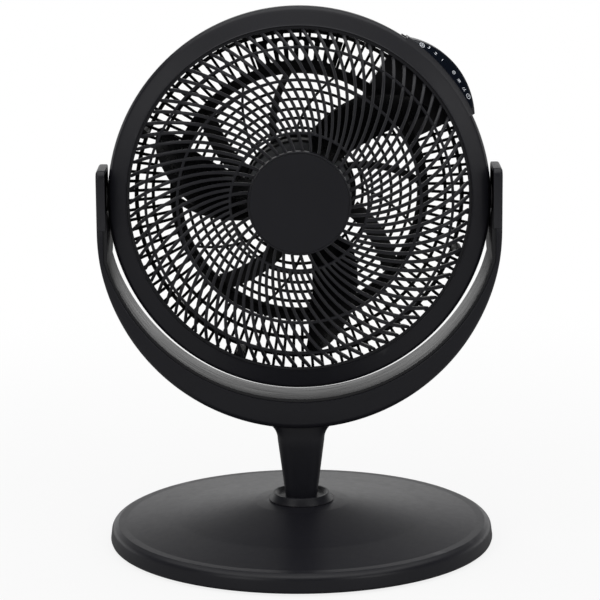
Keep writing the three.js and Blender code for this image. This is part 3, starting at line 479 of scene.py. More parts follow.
flare_end = math.asin((NECK_TOP + FLARE) / bow_reach(0))
flare_top = PIVOT - bow_reach(flare_end) * math.cos(flare_end)
flare_start = flare_top - FLARE
neck_rings = [neck_ring(z, half, half * NECK_DEPTH) for z, half in zip(
    spread(yoke_low.z, flare_start, NECK_STEPS), spread(NECK_FOOT, NECK_TOP, NECK_STEPS))]
for turn in spread(0, math.pi / 2, FLARE_STEPS)[1:]:
    half = NECK_TOP + FLARE * (1 - math.cos(turn))
    neck_rings.append(neck_ring(flare_start + FLARE * math.sin(turn), half, NECK_TOP * NECK_DEPTH))
neck_rings.append(neck_ring(flare_top + 6, NECK_TOP + FLARE, NECK_TOP * NECK_DEPTH - 4))

stations = bow_stations()
yoke = Moulding().skin([bow_section(station) for station in stations])
yoke.skin(neck_rings)

TONGUE, TONGUE_MARGIN, TONGUE_ROOT = 4, 4.5, 5
CAP_ROUND = 8
CAP_TOP = cap_high.z - PIVOT + 0.7


def arm_end(half, bottom, top, rounding):
    """Outline of an arm's end in side view, (depth, height) about the tilt axis, with a round top."""
    arc = [(half - rounding + rounding * math.cos(turn), top - rounding + rounding * math.sin(turn))
           for turn in spread(0, math.pi / 2, 12)]
    return [(-half, bottom), (half, bottom), *arc, *((-y, z) for y, z in reversed(arc))]


tongue = arm_end(YOKE_HALF - TONGUE_MARGIN, ARM_JOINT - PIVOT - TONGUE_ROOT, CAP_TOP - TONGUE_MARGIN,
                 CAP_ROUND - TONGUE_MARGIN)
for side in (-1, 1):
    yoke.skin([[(side * x, y, PIVOT + z) for y, z in tongue] for x in (ARM_INNER, ARM_INNER + TONGUE)])
yoke.piece("yoke_moulding", "stand", "satin_plastic", SATIN, ["yoke"])

# ---------- yoke liner
# A thin band of black plastic snaps into the groove inside the bow and hides the wiring to the head.
# It is drawn smooth along its length, so it shines in streaks. At the arms it opens to the front.


def drawn_band():
    """Black plastic with long streaks that run round the bow."""
    material = plastic("drawn black band", (0.016, 0.016, 0.018), 0.33, grain=1300, flow=0.3, bump=0.12)
    tree = material.node_tree
    add = nodes_in(tree)
    along = add("ShaderNodeMapping", Vector=add("ShaderNodeTexCoord").outputs["Object"],
                Scale=(14, 420, 14))
    streak = add("ShaderNodeTexNoise", Vector=along.outputs[0], Scale=1.0, Detail=4, Roughness=0.6)
    rough = add("ShaderNodeMapRange", Value=streak.outputs["Fac"], _1=0.3, _2=0.7, _3=0.22, _4=0.46)
    wire(tree, tree.nodes["Principled BSDF"], Roughness=rough.outputs[0])
    return material


LINER_PROUD, LINER_PROUD_SIDE, LINER_PROUD_END = 2.7, 2.6, 1.7
LINER_END_FROM, LINER_END_SPAN = -80, 40
LINER_FUNNEL = 3.2
LINER_EASE = 0.35
LINER_TIP, LINER_TIP_STEPS = 16, 4
LINER_TIP_EDGE, LINER_TIP_FRONT = 0.1, 0.3
liner_edge = YOKE_HALF - YOKE_LIP - 0.4


def liner_section(station):
    """The band stands a little proud of the bow, thickens towards the arms and is funnel-shaped there."""
    rise = min(max((station[0].z - PIVOT - LINER_END_FROM) / LINER_END_SPAN, 0), 1)
    sideways = (station[0].x / BOW_INSIDE_SIDEWAYS) ** 2
    proud = LINER_PROUD + LINER_PROUD_SIDE * sideways + LINER_PROUD_END * rise
    return across_bow(station, [
        (LINER_FUNNEL * sideways - proud, -liner_edge, LINER_EASE), (LINER, -liner_edge),
        (LINER, liner_edge), (-proud, liner_edge, LINER_EASE)])


def liner_tip(side, share):
    """Past the joint the band runs up inside the end cap and thins out to an edge."""
    z = ARM_JOINT + LINER_TIP * share
    end = LINER_PROUD + LINER_PROUD_SIDE + LINER_PROUD_END - LINER_SEAT
    proud = end * (1 - share) + LINER_TIP_EDGE
    return across_bow((Vector((side * ARM_INNER, 0, z)), Vector((side * ARM_OUTER, 0, z))), [
        (-proud * LINER_TIP_FRONT, -liner_edge, LINER_TIP_EDGE), (LINER, -liner_edge),
        (LINER, liner_edge), (-proud, liner_edge, LINER_TIP_EDGE)])


tips = spread(0, 1, LINER_TIP_STEPS)[1:]
liner = Moulding().skin(
    [liner_tip(-1, share) for share in reversed(tips)] + [liner_section(station) for station in stations]
    + [liner_tip(1, share) for share in tips])
liner.piece("yoke_liner_band", "stand", "satin_plastic", drawn_band(), ["yoke_liner"])

# ---------- yoke end caps
# Each arm ends in a separate cap, pressed over the tongue that carries the pivot. The joint shows as a
# fine line round the arm, and the cap's top and outer edges are rounded.

CAP_EDGE, CAP_EDGE_STEPS = 2.8, 8
CAP_INSIDE_EDGE, CAP_INSIDE_STEPS = 0.8, 3
CAP_GAP = 0.25


def cap_shell(side):
    """Outlines from the cap's inner face to its outer one, rounded over both edges."""
    layers = [(CAP_INSIDE_EDGE * (1 - math.sin(turn)), ARM_INNER + CAP_INSIDE_EDGE * (1 - math.cos(turn)))
              for turn in spread(0, math.pi / 2, CAP_INSIDE_STEPS)]
    layers += [(CAP_EDGE * (1 - math.cos(turn)), ARM_OUTER - CAP_EDGE * (1 - math.sin(turn)))
               for turn in spread(0, math.pi / 2, CAP_EDGE_STEPS)]
    rows = []
    for inset, x in layers:
        ring = arm_end(YOKE_HALF - inset, ARM_JOINT - PIVOT + CAP_GAP, CAP_TOP - inset, CAP_ROUND - inset)
        rows.append([(side * x, y, PIVOT + z) for y, z in ring])
    return Moulding().skin(rows)


for side, word in ((-1, "left"), (1, "right")):
    cap_shell(side).piece(f"yoke_cap_{word}_shell", "stand", "satin_plastic", SATIN,
                          [f"yoke_cap_{word}"])
    dressed(f"pivot_bolt_{word}", ZINC)
    dressed(f"pivot_washer_{word}", RUBBER)

# ---------- motor
# A shaded-pole motor sits behind the guard in a black can with a ring of cooling slots at its back. Its
# laminations, rotor, bearings and shaft are steel and are reached by taking the can off.

spin = next(joint for joint in frame["joints"] if joint["name"] == "rotor_spin")["axis"]
tilt = Matrix.Rotation(math.atan2(spin[2], -spin[1]), 4, "X")
HEAD = Matrix.Translation(Vector((0, 0, PIVOT * MM))) @ tilt.inverted()
CAN_RADIUS = 55.5
CAN_BACK = 92
CAN_FRONT = 30
FLANGE_FACE = 70.3
FLANGE_RADIUS = 57.5
VENT_COUNT = 24
VENT_FROM, VENT_TO = 17, 42
VENT_WIDTH, VENT_ROUND = 3.0, 1.45

can = Moulding().turn([
    (0, CAN_BACK - 2.4), (CAN_RADIUS - 9, CAN_BACK - 2.4, 6), (CAN_RADIUS - 2.3, CAN_BACK - 10, 4),
    (CAN_RADIUS - 2.3, CAN_FRONT), (CAN_RADIUS, CAN_FRONT, 0.6), (CAN_RADIUS, FLANGE_FACE),
    (FLANGE_RADIUS, FLANGE_FACE, 0.5), (FLANGE_RADIUS, FLANGE_FACE + 3, 0.8),
    (CAN_RADIUS + 0.6, FLANGE_FACE + 3, 1.5), (CAN_RADIUS - 1, CAN_BACK, 10), (12, CAN_BACK, 0.8),
    (10, CAN_BACK + 1, 0.8), (0, CAN_BACK + 1),
], 128).piece("motor_can_shell", "head", "inner_plastic", INNER, ["motor_can"], HEAD)

slots = Moulding()
for k in range(VENT_COUNT):
    turn = 2 * math.pi * k / VENT_COUNT
    out, across = Vector((math.cos(turn), 0, math.sin(turn))), Vector((-math.sin(turn), 0, math.cos(turn)))
    ring = eased([(VENT_FROM, -VENT_WIDTH / 2, VENT_ROUND), (VENT_TO, -VENT_WIDTH / 2, VENT_ROUND),
                  (VENT_TO, VENT_WIDTH / 2, VENT_ROUND), (VENT_FROM, VENT_WIDTH / 2, VENT_ROUND)])
    slots.skin([[out * u + across * v + Vector((0, y, 0)) for u, v in ring]
                for y in (CAN_BACK - 8, CAN_BACK + 5)])
cutter = slots.piece("vent_cutter", "head", "inner_plastic", INNER, (), HEAD)


def cut_away(target, tool):
    """Cuts the tool's shape out of the target and removes the tool."""
    modifier = target.modifiers.new("cut", "BOOLEAN")
    modifier.operation = "DIFFERENCE"
    modifier.object = tool
    modifier.solver = "EXACT"
    bpy.context.view_layer.update()
    shaped = bpy.data.meshes.new_from_object(target.evaluated_get(bpy.context.evaluated_depsgraph_get()))
    target.modifiers.clear()
    target.data = shaped
    bpy.data.objects.remove(tool)


cut_away(can, cutter)
for inner_part in ("motor_plate", "motor_stator", "motor_bearing_front", "motor_bearing_rear",
                   "motor_shaft", "motor_rotor"):
    dressed(inner_part, ZINC)

# ---------- motor carrier
# The middle of the rear guard: a spider of curved struts in three widths, tied by six rings, that
# carries the motor. It is moulded in matt black plastic and screwed to the guard's band.

CARRIER_RIM = 124.1
CARRIER_RIM_WIDTH = 4.3
CARRIER_FACE = 65
CARRIER_HUB = 55.8
CARRIER_HUB_WIDTH = 2.2
CARRIER_DEPTH = 5
CARRIER_RINGS = (64.6, 74.4, 84.0, 93.8, 103.5, 113.2)
CARRIER_RING_WIDTH = 3.0
STRUT_COUNT = 16
STRUT_SWEEP = -0.34
STRUT_START = 26.3
THIN_STRUT, BROAD_STRUT, MAIN_STRUT = 2.8, 7.6, 17.5
STRUT_WIDTHS = (THIN_STRUT, MAIN_STRUT, THIN_STRUT, BROAD_STRUT)


def directions(path):
    """Which way a path runs at each of its points."""
    last = len(path) - 1
    return [(path[min(k + 1, last)] - path[max(k - 1, 0)]).normalized() for k in range(last + 1)]


def round_bar(moulding, path, section):
    """A bar along a path in the head; its section is an outline of (sideways, backwards)."""
    rows = []
    back = Vector((0, 1, 0))
    for point, along in zip(path, directions(path)):
        side = along.cross(back).normalized()
        behind = side.cross(along).normalized()
        rows.append([point + side * u + behind * v for u, v in section])
    moulding.skin(rows)


def around(radius, degrees, y):
    """A point of the head: angle counter-clockwise from its right, seen from the front."""
    turn = math.radians(degrees)
    return Vector((radius * math.cos(turn), y, radius * math.sin(turn)))


def hoop(moulding, radius, width, front, depth, edge=0.5, steps=180):
    """A plain ring with eased edges."""
    low, high = radius - width / 2, radius + width / 2
    moulding.turn([(low, front, edge), (high, front, edge), (high - 0.2, front + depth),
                   (low + 0.2, front + depth)], steps)


def tapered(width, depth, draft=0.35):
    """Section of a moulded rib: a lightly rounded face that narrows to the back for the mould."""
    half = width / 2
    return eased([(-half, 0, 0.3 * width), (half, 0, 0.3 * width), (half - draft, depth),
                  (draft - half, depth)], 2)


carrier = Moulding()
hoop(carrier, CARRIER_HUB + CARRIER_HUB_WIDTH / 2, CARRIER_HUB_WIDTH, CARRIER_FACE, CARRIER_DEPTH)
hoop(carrier, CARRIER_RIM - CARRIER_RIM_WIDTH / 2, CARRIER_RIM_WIDTH, CARRIER_FACE, CARRIER_DEPTH)
for radius in CARRIER_RINGS:
    hoop(carrier, radius, CARRIER_RING_WIDTH, CARRIER_FACE + 0.3, CARRIER_DEPTH - 1, 0.4)
STRUT_STEPS = 14
strut_from, strut_to = CARRIER_HUB + 1, CARRIER_RIM - 1
for strut in range(STRUT_COUNT):
    radii = spread(strut_from, strut_to, STRUT_STEPS)
    start = STRUT_START + strut * 360 / STRUT_COUNT
    path = [around(r, start + STRUT_SWEEP * (r - CARRIER_RIM), CARRIER_FACE) for r in radii]
    width = STRUT_WIDTHS[strut % 4]
    round_bar(carrier, path, tapered(width, CARRIER_DEPTH - 0.5))
carrier.piece("motor_carrier_spider", "head", "inner_plastic", INNER, ["motor_carrier"], HEAD)

# ---------- rear guard
# A dished guard of fine radial fins between a rim and a broad band, tied by two hoops. It is one
# matt black moulding that clips into the rear housing.

REAR_RIM = 182.5
REAR_RIM_WIDTH = 6.5
BAND_OUTER, BAND_INNER = 131.2, 124.3
REAR_FRONT = 23.8
DISH = 34
FIN_COUNT = 109
FIN_WIDTH, FIN_DEPTH = 3.1, 5
OUTER_HOOP, OUTER_HOOP_WIDTH = 163.8, 4.3
INNER_HOOP, INNER_HOOP_WIDTH = 147.6, 3.5
GRIP_SECTOR = (73.4, 107.9)
BOX_SECTOR = (25.3, 56.9)
LEDGE = 2


def dish(radius):
    """How far the guard's front face lies behind the tilt axis: a cone from the rim to the band."""
    rim, band = REAR_RIM - REAR_RIM_WIDTH / 2, (BAND_OUTER + BAND_INNER) / 2
    return REAR_FRONT + DISH * min(max((rim - radius) / (rim - band), 0), 1)


def outside(angle, sector):
    return not sector[0] - 0.4 < angle < sector[1] + 0.4


def arc_hoop(moulding, radius, width, front, depth, start, end):
    """Part of a ring, from one angle to another."""
    count = max(int(abs(end - start) / 2), 4)
    path = [around(radius, degrees, front) for degrees in spread(start, end, count)]
    round_bar(moulding, path, tapered(width, depth, 0.2))


def fin_bar(moulding, fin, first, last):
    """One fin of the guard between two radii."""
    path = [around(r, fin * 360 / FIN_COUNT, dish(r)) for r in spread(first, last, 4)]
    round_bar(moulding, path, tapered(FIN_WIDTH, FIN_DEPTH, 0.3))


carrier_back = CARRIER_FACE + CARRIER_DEPTH
guard = Moulding()
guard.turn([
    (BAND_INNER, dish(BAND_INNER), 0.5), (BAND_OUTER, dish(BAND_OUTER), 0.8),
    (BAND_OUTER - 0.3, dish(BAND_OUTER) + FIN_DEPTH + LEDGE, 0.6),
    (BAND_INNER - LEDGE, carrier_back + LEDGE, 0.4), (BAND_INNER - LEDGE, carrier_back + 0.3, 0.3),
    (BAND_INNER, carrier_back + 0.3),
], 180)
hoop(guard, REAR_RIM - REAR_RIM_WIDTH / 2, REAR_RIM_WIDTH, REAR_FRONT, FIN_DEPTH + 0.5, 0.8)
for radius, width, start, end in (
        (OUTER_HOOP, OUTER_HOOP_WIDTH, BOX_SECTOR[1], BOX_SECTOR[0] + 360),
        (INNER_HOOP, INNER_HOOP_WIDTH, BOX_SECTOR[1], GRIP_SECTOR[0]),
        (INNER_HOOP, INNER_HOOP_WIDTH, GRIP_SECTOR[1], BOX_SECTOR[0] + 360)):
    arc_hoop(guard, radius, width, dish(radius) + 0.3, FIN_DEPTH - 0.6, start, end)
for fin in range(FIN_COUNT):
    angle = fin * 360 / FIN_COUNT
    if outside(angle, GRIP_SECTOR) and outside(angle, BOX_SECTOR):
        fin_bar(guard, fin, BAND_OUTER - 1, REAR_RIM - REAR_RIM_WIDTH + 1)
guard.piece("rear_guard", "head", "inner_plastic", INNER, ["rear_grille"], HEAD)

# ---------- rear grip
# A plate with eight long round-ended slots fills the top of the rear guard, and the guard's fins go on
# above it. It is moulded in the same black plastic, and the fingers of one hand carry the fan by it.

GRIP_SLOTS = 8
GRIP_MIDDLE = 90.8
GRIP_PITCH = 4.06
SLOT_LOW, SLOT_HIGH = 133.4, 154.4
SLOT_WIDTH = 5.4
PLATE_LOW, PLATE_HIGH = BAND_OUTER - 0.3, 158.0
GRIP_TOP = REAR_RIM - REAR_RIM_WIDTH - 0.3
GRIP_THICK = 3.6
GRIP_SINK = 0.5

grip = Moulding()


def plate_strip(radii, left, right):
    """A strip of the plate that lies in the guard's cone; left and right give its edges in degrees."""
    rows = []
    for r in radii:
        front = dish(r) + GRIP_SINK
        rows.append([around(r, left(r), front), around(r, right(r), front),
                     around(r, right(r), front + GRIP_THICK), around(r, left(r), front + GRIP_THICK)])
    grip.skin(rows)


def plate_ring(low, high):
    """A curved part of the plate across the whole sector."""
    corners = ((low, 0), (high, 0), (high, GRIP_THICK), (low, GRIP_THICK))
    grip.skin([[around(r, degrees, dish(r) + GRIP_SINK + back) for r, back in corners]
               for degrees in spread(*GRIP_SECTOR, 36)])


plate_ring(PLATE_LOW, SLOT_LOW + 0.05)
plate_ring(SLOT_HIGH - 0.05, PLATE_HIGH)
plate_ring(GRIP_TOP - 1.5, GRIP_TOP)
round_end = [SLOT_WIDTH / 2 * (1 - math.cos(turn)) for turn in spread(0, math.pi / 2, 7)]
slot_radii = [SLOT_LOW + u for u in round_end] + [SLOT_HIGH - u for u in reversed(round_end)]


def slot_half(radius):
    """Half the width of a slot at a radius, in degrees; its two ends are half circles."""
    end = max(SLOT_LOW + SLOT_WIDTH / 2 - radius, radius - SLOT_HIGH + SLOT_WIDTH / 2, 0)
    return math.degrees(math.sqrt(max((SLOT_WIDTH / 2) ** 2 - end * end, 0)) / radius)


for bar in range(GRIP_SLOTS + 1):
    middle = GRIP_MIDDLE + (bar - GRIP_SLOTS / 2) * GRIP_PITCH
    plate_strip(
        slot_radii,
        lambda r: middle - GRIP_PITCH / 2 + slot_half(r) if bar else GRIP_SECTOR[0],
        lambda r: middle + GRIP_PITCH / 2 - slot_half(r) if bar < GRIP_SLOTS else GRIP_SECTOR[1])
arc_hoop(grip, OUTER_HOOP, OUTER_HOOP_WIDTH, dish(OUTER_HOOP) + 0.3, FIN_DEPTH - 0.6,
         GRIP_SECTOR[0] - 1.6, GRIP_SECTOR[1] + 0.4)
for fin in range(FIN_COUNT):
    if not outside(fin * 360 / FIN_COUNT, GRIP_SECTOR):
        fin_bar(grip, fin, PLATE_HIGH - 1, GRIP_TOP - 0.5)
grip.piece("rear_grip_plate", "head", "inner_plastic", INNER, ["rear_grip"], HEAD)

# ---------- fan blades and their nut
# Three broad swept blades and a round hub in one glossy black moulding. It slides on the motor's
# shaft and is held by a plastic nut with a left-hand thread.

BLADES = plastic("half-gloss black plastic", (0.011, 0.011, 0.0125), 0.28, depth=0.3, flow=0.3, bump=0.08)
BLADE_TIP = 155.5
BLADE_WIDEST = 73
BLADE_LEAD, BLADE_LEAN = 279.6, 0.094
TIP_CHORD, CHORD_GAIN = 5.0, 31.8
TIP_ROUND = 4
HUB_RADIUS = 45
HUB_FRONT, HUB_BACK = -30, 20
HUB_BORE = 4.3
BLADE_ROOT_PITCH, BLADE_TIP_PITCH = 19, 4
BLADE_THICK = 2.3
BLADE_RINGS, BLADE_STRIPS = 26, 18


def blade_edges(radius):
    """Angles of a blade's leading and trailing edge, rounded in over the last stretch to the tip."""
    lead = BLADE_LEAD - BLADE_LEAN * (radius - BLADE_WIDEST)
    share = min(1.0, (BLADE_TIP - radius) / (BLADE_TIP - BLADE_WIDEST))
    chord = TIP_CHORD + CHORD_GAIN * share ** 0.8
    trim = max(0.0, radius - BLADE_TIP + TIP_ROUND) / TIP_ROUND
    ease = 0.32 * (1 - math.sqrt(max(1 - trim * trim, 0)))
    return lead + chord * ease, lead + chord * (1 - ease)


blades = Moulding()
for blade in range(3):
    rows = []
    for k in range(BLADE_RINGS + 1):
        radius = HUB_RADIUS - 2.4 + (BLADE_TIP - HUB_RADIUS + 2.4) * (k / BLADE_RINGS) ** 0.9
        lead, trail = blade_edges(radius)
        reach = min((BLADE_TIP - radius) / (BLADE_TIP - HUB_RADIUS), 1)
        half = BLADE_TIP_PITCH + (BLADE_ROOT_PITCH - BLADE_TIP_PITCH) * reach

        def skin(side):
            strip = []
            for i in range(BLADE_STRIPS + 1):
                share = 0.5 - 0.5 * math.cos(math.pi * i / BLADE_STRIPS)
                swell = side * BLADE_THICK * (0.12 + 1.9 * math.sqrt(share * (1 - share)) * 0.5)
                y = half - 2 * half * share - 5 * share * (1 - share) + swell / 2
                strip.append(around(radius, lead + (trail - lead) * share + 120 * blade, y))
            return strip

        rows.append(skin(-1) + list(reversed(skin(1))))
    blades.skin(rows)
blades.turn([
    (HUB_BORE, HUB_FRONT), (HUB_RADIUS * 0.72, HUB_FRONT + 1, 10), (HUB_RADIUS, HUB_FRONT + 9, 8),
    (HUB_RADIUS, HUB_BACK, 0.5), (HUB_RADIUS - 2.6, HUB_BACK, 0.5), (HUB_RADIUS - 2.6, HUB_FRONT + 14, 3),
    (12, HUB_FRONT + 10, 2), (12, HUB_BACK - 3, 0.5), (HUB_BORE, HUB_BACK - 3),
], 96)
blades.piece("fan_blades_moulding", "rotor", "blade_plastic", BLADES, ["fan_blades"], HEAD)

NUT_RADIUS = 10
nut = Moulding().turn([(HUB_BORE, HUB_FRONT - 0.4), (NUT_RADIUS, HUB_FRONT - 0.4, 0.6),
                       (NUT_RADIUS - 1, HUB_FRONT - 7.3, 1.2), (HUB_BORE, HUB_FRONT - 7.3, 0.5)], 48)
for k in range(8):
    turn = 45 * k
    round_bar(nut, [around(NUT_RADIUS - 0.6, turn, HUB_FRONT - 1),
                    around(NUT_RADIUS - 1.2, turn, HUB_FRONT - 6)],
              eased([(-1, -1, 0.4), (1, -1, 0.4), (1, 1, 0.4), (-1, 1, 0.4)], 2))
nut.piece("blade_nut_knob", "rotor", "inner_plastic", INNER, ["blade_nut"], HEAD)

# ---------- rear housing and posts
# The back half of the drum's rim, in satin black plastic, with a boss on each side that takes the
# pivot bolt. Four screw posts inside tie it to the front grille.

RIM = 190
RIM_WALL = 2.8
JOINT = -4
HOUSING_BACK = 23.5
BORE = 171
REAR_MOUTH = 176.3
BOSS_RADIUS = 12
housing = Moulding().turn([
    (RIM - 0.15, JOINT + 0.15, 0.3), (RIM, 12, 8), (RIM - 4, 20.5, 7), (RIM - 8, HOUSING_BACK - 0.2, 3),
    (REAR_MOUTH, HOUSING_BACK, 0.6), (REAR_MOUTH, HOUSING_BACK - RIM_WALL),
    (RIM - 7, HOUSING_BACK - RIM_WALL - 3, 5), (RIM - RIM_WALL, 9, 5), (RIM - RIM_WALL, JOINT + 0.15),
], 256)
for side in (-1, 1):
    boss = Moulding().turn([(4.3, side * (RIM - 11)), (BOSS_RADIUS, side * (RIM - 11)),
                            (BOSS_RADIUS, side * (RIM + 0.1), 0.6), (4.3, side * (RIM + 0.1), 0.3)], 64)
    first = len(housing.points)
    housing.points += [(y, max(x, JOINT + 0.2), z) for x, y, z in boss.points]
    housing.faces += [tuple(first + i for i in face) for face in boss.faces]
housing.piece("rear_housing_shell", "head", "satin_plastic", SATIN, ["rear_housing"], HEAD)

POST_RADIUS = 4.9
POST_FRONT, POST_BACK = -14, 28.6
SCREW_RADIUS, SCREW_HEAD = 2.2, 25
for i in range(1, 5):
    post = f"grille_post_{i}"
    low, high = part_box(post)
    middle = HEAD.inverted() @ ((low + high) / 2) / MM
    (
        Moulding().turn([(0, POST_FRONT), (POST_RADIUS - 0.4, POST_FRONT, 0.4),
                         (POST_RADIUS, POST_BACK, 0.4), (SCREW_RADIUS, POST_BACK),
                         (SCREW_RADIUS, SCREW_HEAD), (0, SCREW_HEAD)], 40)
        .piece(post + "_skin", "head", "inner_plastic", INNER, [post],
               HEAD @ Matrix.Translation(Vector((middle.x, 0, middle.z)) * MM))
    )

# ---------- control pod
# The touch control sits in a bulge on the rim's upper right, moulded in satin black and flush with the
# bezel's cone. A box behind it, in a gap of the rear guard, holds the circuit board.

POD_FROM, POD_TO = 25.5, 55.7
POD_RADIUS = 77.9
POD_INSET = 64.8
POD_MIDDLE = 40.0
POD_STEP = 2.6
POD_LAND = 0.6
POD_INNER = RIM + 0.9
CONE_FRONT, CONE_BACK = (171.9, -20.6), (187.4, -13.6)
POD_FACE = 15
POD_BACK = 62
POD_STEPS = 96


def bulge(degrees):
    """Outer radius of the pod at an angle: one arc, never lower than a small step above the rim."""
    centre = RIM - POD_INSET
    off = centre * math.sin(math.radians(degrees - POD_MIDDLE))
    along = centre * math.cos(math.radians(degrees - POD_MIDDLE))
    reach = POD_RADIUS ** 2 - off * off
    arc = along + math.sqrt(reach) if reach > 0 else 0
    return max(arc, RIM + POD_STEP)


def cone(radius):
    """Where the bezel's front cone, carried on outwards over the pod, lies."""
    slope = (CONE_BACK[1] - CONE_FRONT[1]) / (CONE_BACK[0] - CONE_FRONT[0])
    return CONE_FRONT[1] + slope * (radius - CONE_FRONT[0])


def pod_face(radius):
    """How far behind the tilt axis the pod's slanted face lies."""
    land = POD_INNER + POD_LAND
    return cone(land) + max(radius - land, 0) * POD_FACE / (bulge(POD_MIDDLE) - land)


def pod_section(degrees):
    outer = bulge(degrees)
    land = min(POD_INNER + POD_LAND, outer - 0.4)
    corners = [
        (RIM - 3.4, cone(RIM - 3.4) - 0.04), (land, cone(land) - 0.04, 0.8), (outer, pod_face(outer), 1.4),
        (outer, HOUSING_BACK + 13, 2), (outer - 3.5, POD_BACK - 8, 4), (POD_INNER - 8, POD_BACK - 8, 1),
        (POD_INNER - 8, HOUSING_BACK + 7), (RIM + 0.6, HOUSING_BACK + 5), (RIM + 0.6, -8.8),
        (RIM - 3.0, -12.6)]
    return [around(r, degrees, y) for r, y in eased(corners, 3)]


pod = Moulding().skin([pod_section(degrees) for degrees in spread(POD_FROM, POD_TO, POD_STEPS)])


def pod_slab(r1, r2, y1, y2, start, end, rounding=1.0):
    """A block of the box: a sector of the guard's ring with eased edges."""
    corners = [(r1, y1, rounding), (r2, y1, rounding), (r2, y2, rounding), (r1, y2, rounding)]
    pod.skin([[around(r, degrees, y) for r, y in eased(corners, 3)] for degrees in spread(start, end, 24)])


box_inner, box_outer = BAND_OUTER - 0.6, REAR_RIM - REAR_RIM_WIDTH - 0.2
pod_slab(box_inner, box_outer, dish((box_inner + box_outer) / 2) + 0.3, POD_BACK, *BOX_SECTOR)
pod_slab(box_outer - 8, POD_INNER, dish(box_outer) + 10, POD_BACK - 8, *BOX_SECTOR)
pod.piece("control_pod_shell", "head", "satin_plastic", SATIN, ["control_pod"], HEAD)

# ---------- control strip
# A narrow sickle of blue-black glossy plastic lies in the pod's slanted face. The speeds, the modes
# and the power mark are printed on it in pale ink, and a finger's touch works them.

PANEL_FROM, PANEL_TO = 27.4, 53.6
PANEL_EDGE = 0.4
PANEL_LIFT = 0.45
PANEL_STEPS = 80
STRIP = plastic("glossy blue-black plastic", (0.0035, 0.0055, 0.0105), 0.1, depth=0.1, flow=0.1,
                polish=0.1, bump=0.02)
INK = plastic("pale ink", (0.74, 0.77, 0.82), 0.45, grain=5000, depth=0.5, flow=0.15, polish=0, bump=0.1)


def strip_edges(degrees):
    low = POD_INNER + POD_LAND + PANEL_EDGE
    return low, max(bulge(degrees) - PANEL_EDGE - 0.35, low + 0.8)


def strip_section(degrees):
    low, high = strip_edges(degrees)
    corners = [(low, pod_face(low) + 0.8), (low, pod_face(low) - PANEL_LIFT, 0.4),
               (high, pod_face(high) - PANEL_LIFT, 0.9), (high, pod_face(high) + 0.8)]
    return [around(r, degrees, y) for r, y in eased(corners, 4)]


strip = Moulding().skin([strip_section(degrees) for degrees in spread(PANEL_FROM, PANEL_TO, PANEL_STEPS)])
strip.piece("control_strip", "head", "gloss_panel", STRIP, ["control_panel"], HEAD)

MARK_RADIUS = 196.4
MARK_LIFT, MARK_THICK = 0.47, 0.05
marks = Moulding()


def ink_line(degrees, points, radius=MARK_RADIUS, width=0.7):
    """A printed line on the strip: points are (right, up) in millimetres about the mark's place."""
    out = around(1, degrees, 0)
    across = Vector((out.z, 0, -out.x))
    slope = POD_FACE / (bulge(POD_MIDDLE) - POD_INNER - POD_LAND)
    up = (out + Vector((0, slope, 0))).normalized()
    normal = across.cross(up).normalized()
    if normal.y > 0:
        normal = -normal
    origin = around(radius, degrees, pod_face(radius) - MARK_LIFT)
    path = [origin + across * u + up * v for u, v in points]
    rows = []
    for point, along in zip(path, directions(path)):
        side = along.cross(normal).normalized() * width / 2
        left, right, lift = point - side, point + side, normal * MARK_THICK
        rows.append([left, right, right + lift, left + lift])
    marks.skin(rows)


def circle(radius, start=0, end=360, steps=24, centre=(0, 0)):
    return [(centre[0] + radius * math.cos(a), centre[1] + radius * math.sin(a))
            for a in map(math.radians, spread(start, end, steps))]


FAN_MARK, SPEEDS, MODES, POWER_MARK = 51.0, (43.7, 46.4, 49.0), (38.7, 36.0, 33.2), 30.8
FAN_RADIUS, POWER_RADIUS, MODE_RADII = 193.9, 195.1, (196.9, 196.0, 195.7)
ink_line(FAN_MARK, circle(2.7), FAN_RADIUS)
for k in range(3):
    turn = math.radians(120 * k + 90)
    blade_line = [(r * math.cos(turn + bend), r * math.sin(turn + bend))
                  for r, bend in ((0.3, 0), (2.1, 0.5))]
    ink_line(FAN_MARK, blade_line, FAN_RADIUS, 0.9)
ink_line(SPEEDS[0], [(0, -1.5), (0, 1.5)])
ink_line(SPEEDS[1], circle(0.9, 170, -40, 8, (0, 0.6)) + [(-0.9, -1.5), (1.0, -1.5)])
ink_line(SPEEDS[2], circle(0.8, 150, -90, 8, (0, 0.8)) + circle(0.85, 80, -150, 8, (0, -0.8)))
ink_line(MODES[0], circle(1.9, 40, 320, 16), MODE_RADII[0])
ink_line(MODES[0], [(-0.6, 0), (1.2, 0)], MODE_RADII[0], 0.9)
for k in (-1, 0, 1):
    wave = [(-1.9 + 0.47 * i, 1.2 * k + 0.35 * math.sin(i * 1.6)) for i in range(9)]
    ink_line(MODES[1], wave, MODE_RADII[1], 0.6)
ink_line(MODES[2], [(-1.8, -1.2), (-0.9, 1.5), (0.2, -1.2), (1.6, 1.7)], MODE_RADII[2])
ink_line(MODES[2], [(-2.1, -2.0), (2.1, -2.0)], MODE_RADII[2], 0.6)
ink_line(POWER_MARK, circle(2.6), POWER_RADIUS)
ink_line(POWER_MARK, [(0, 1.7), (0, 0), (-1.1, 0)], POWER_RADIUS)
marks.piece("control_marks", "head", "gloss_panel", INK, (), HEAD)

# ---------- front bezel
# The front ring of the drum, a satin black cone that leads in to the bore and ends in a thin raised
# lip. It clips on the rear housing along the line that runs round the rim.

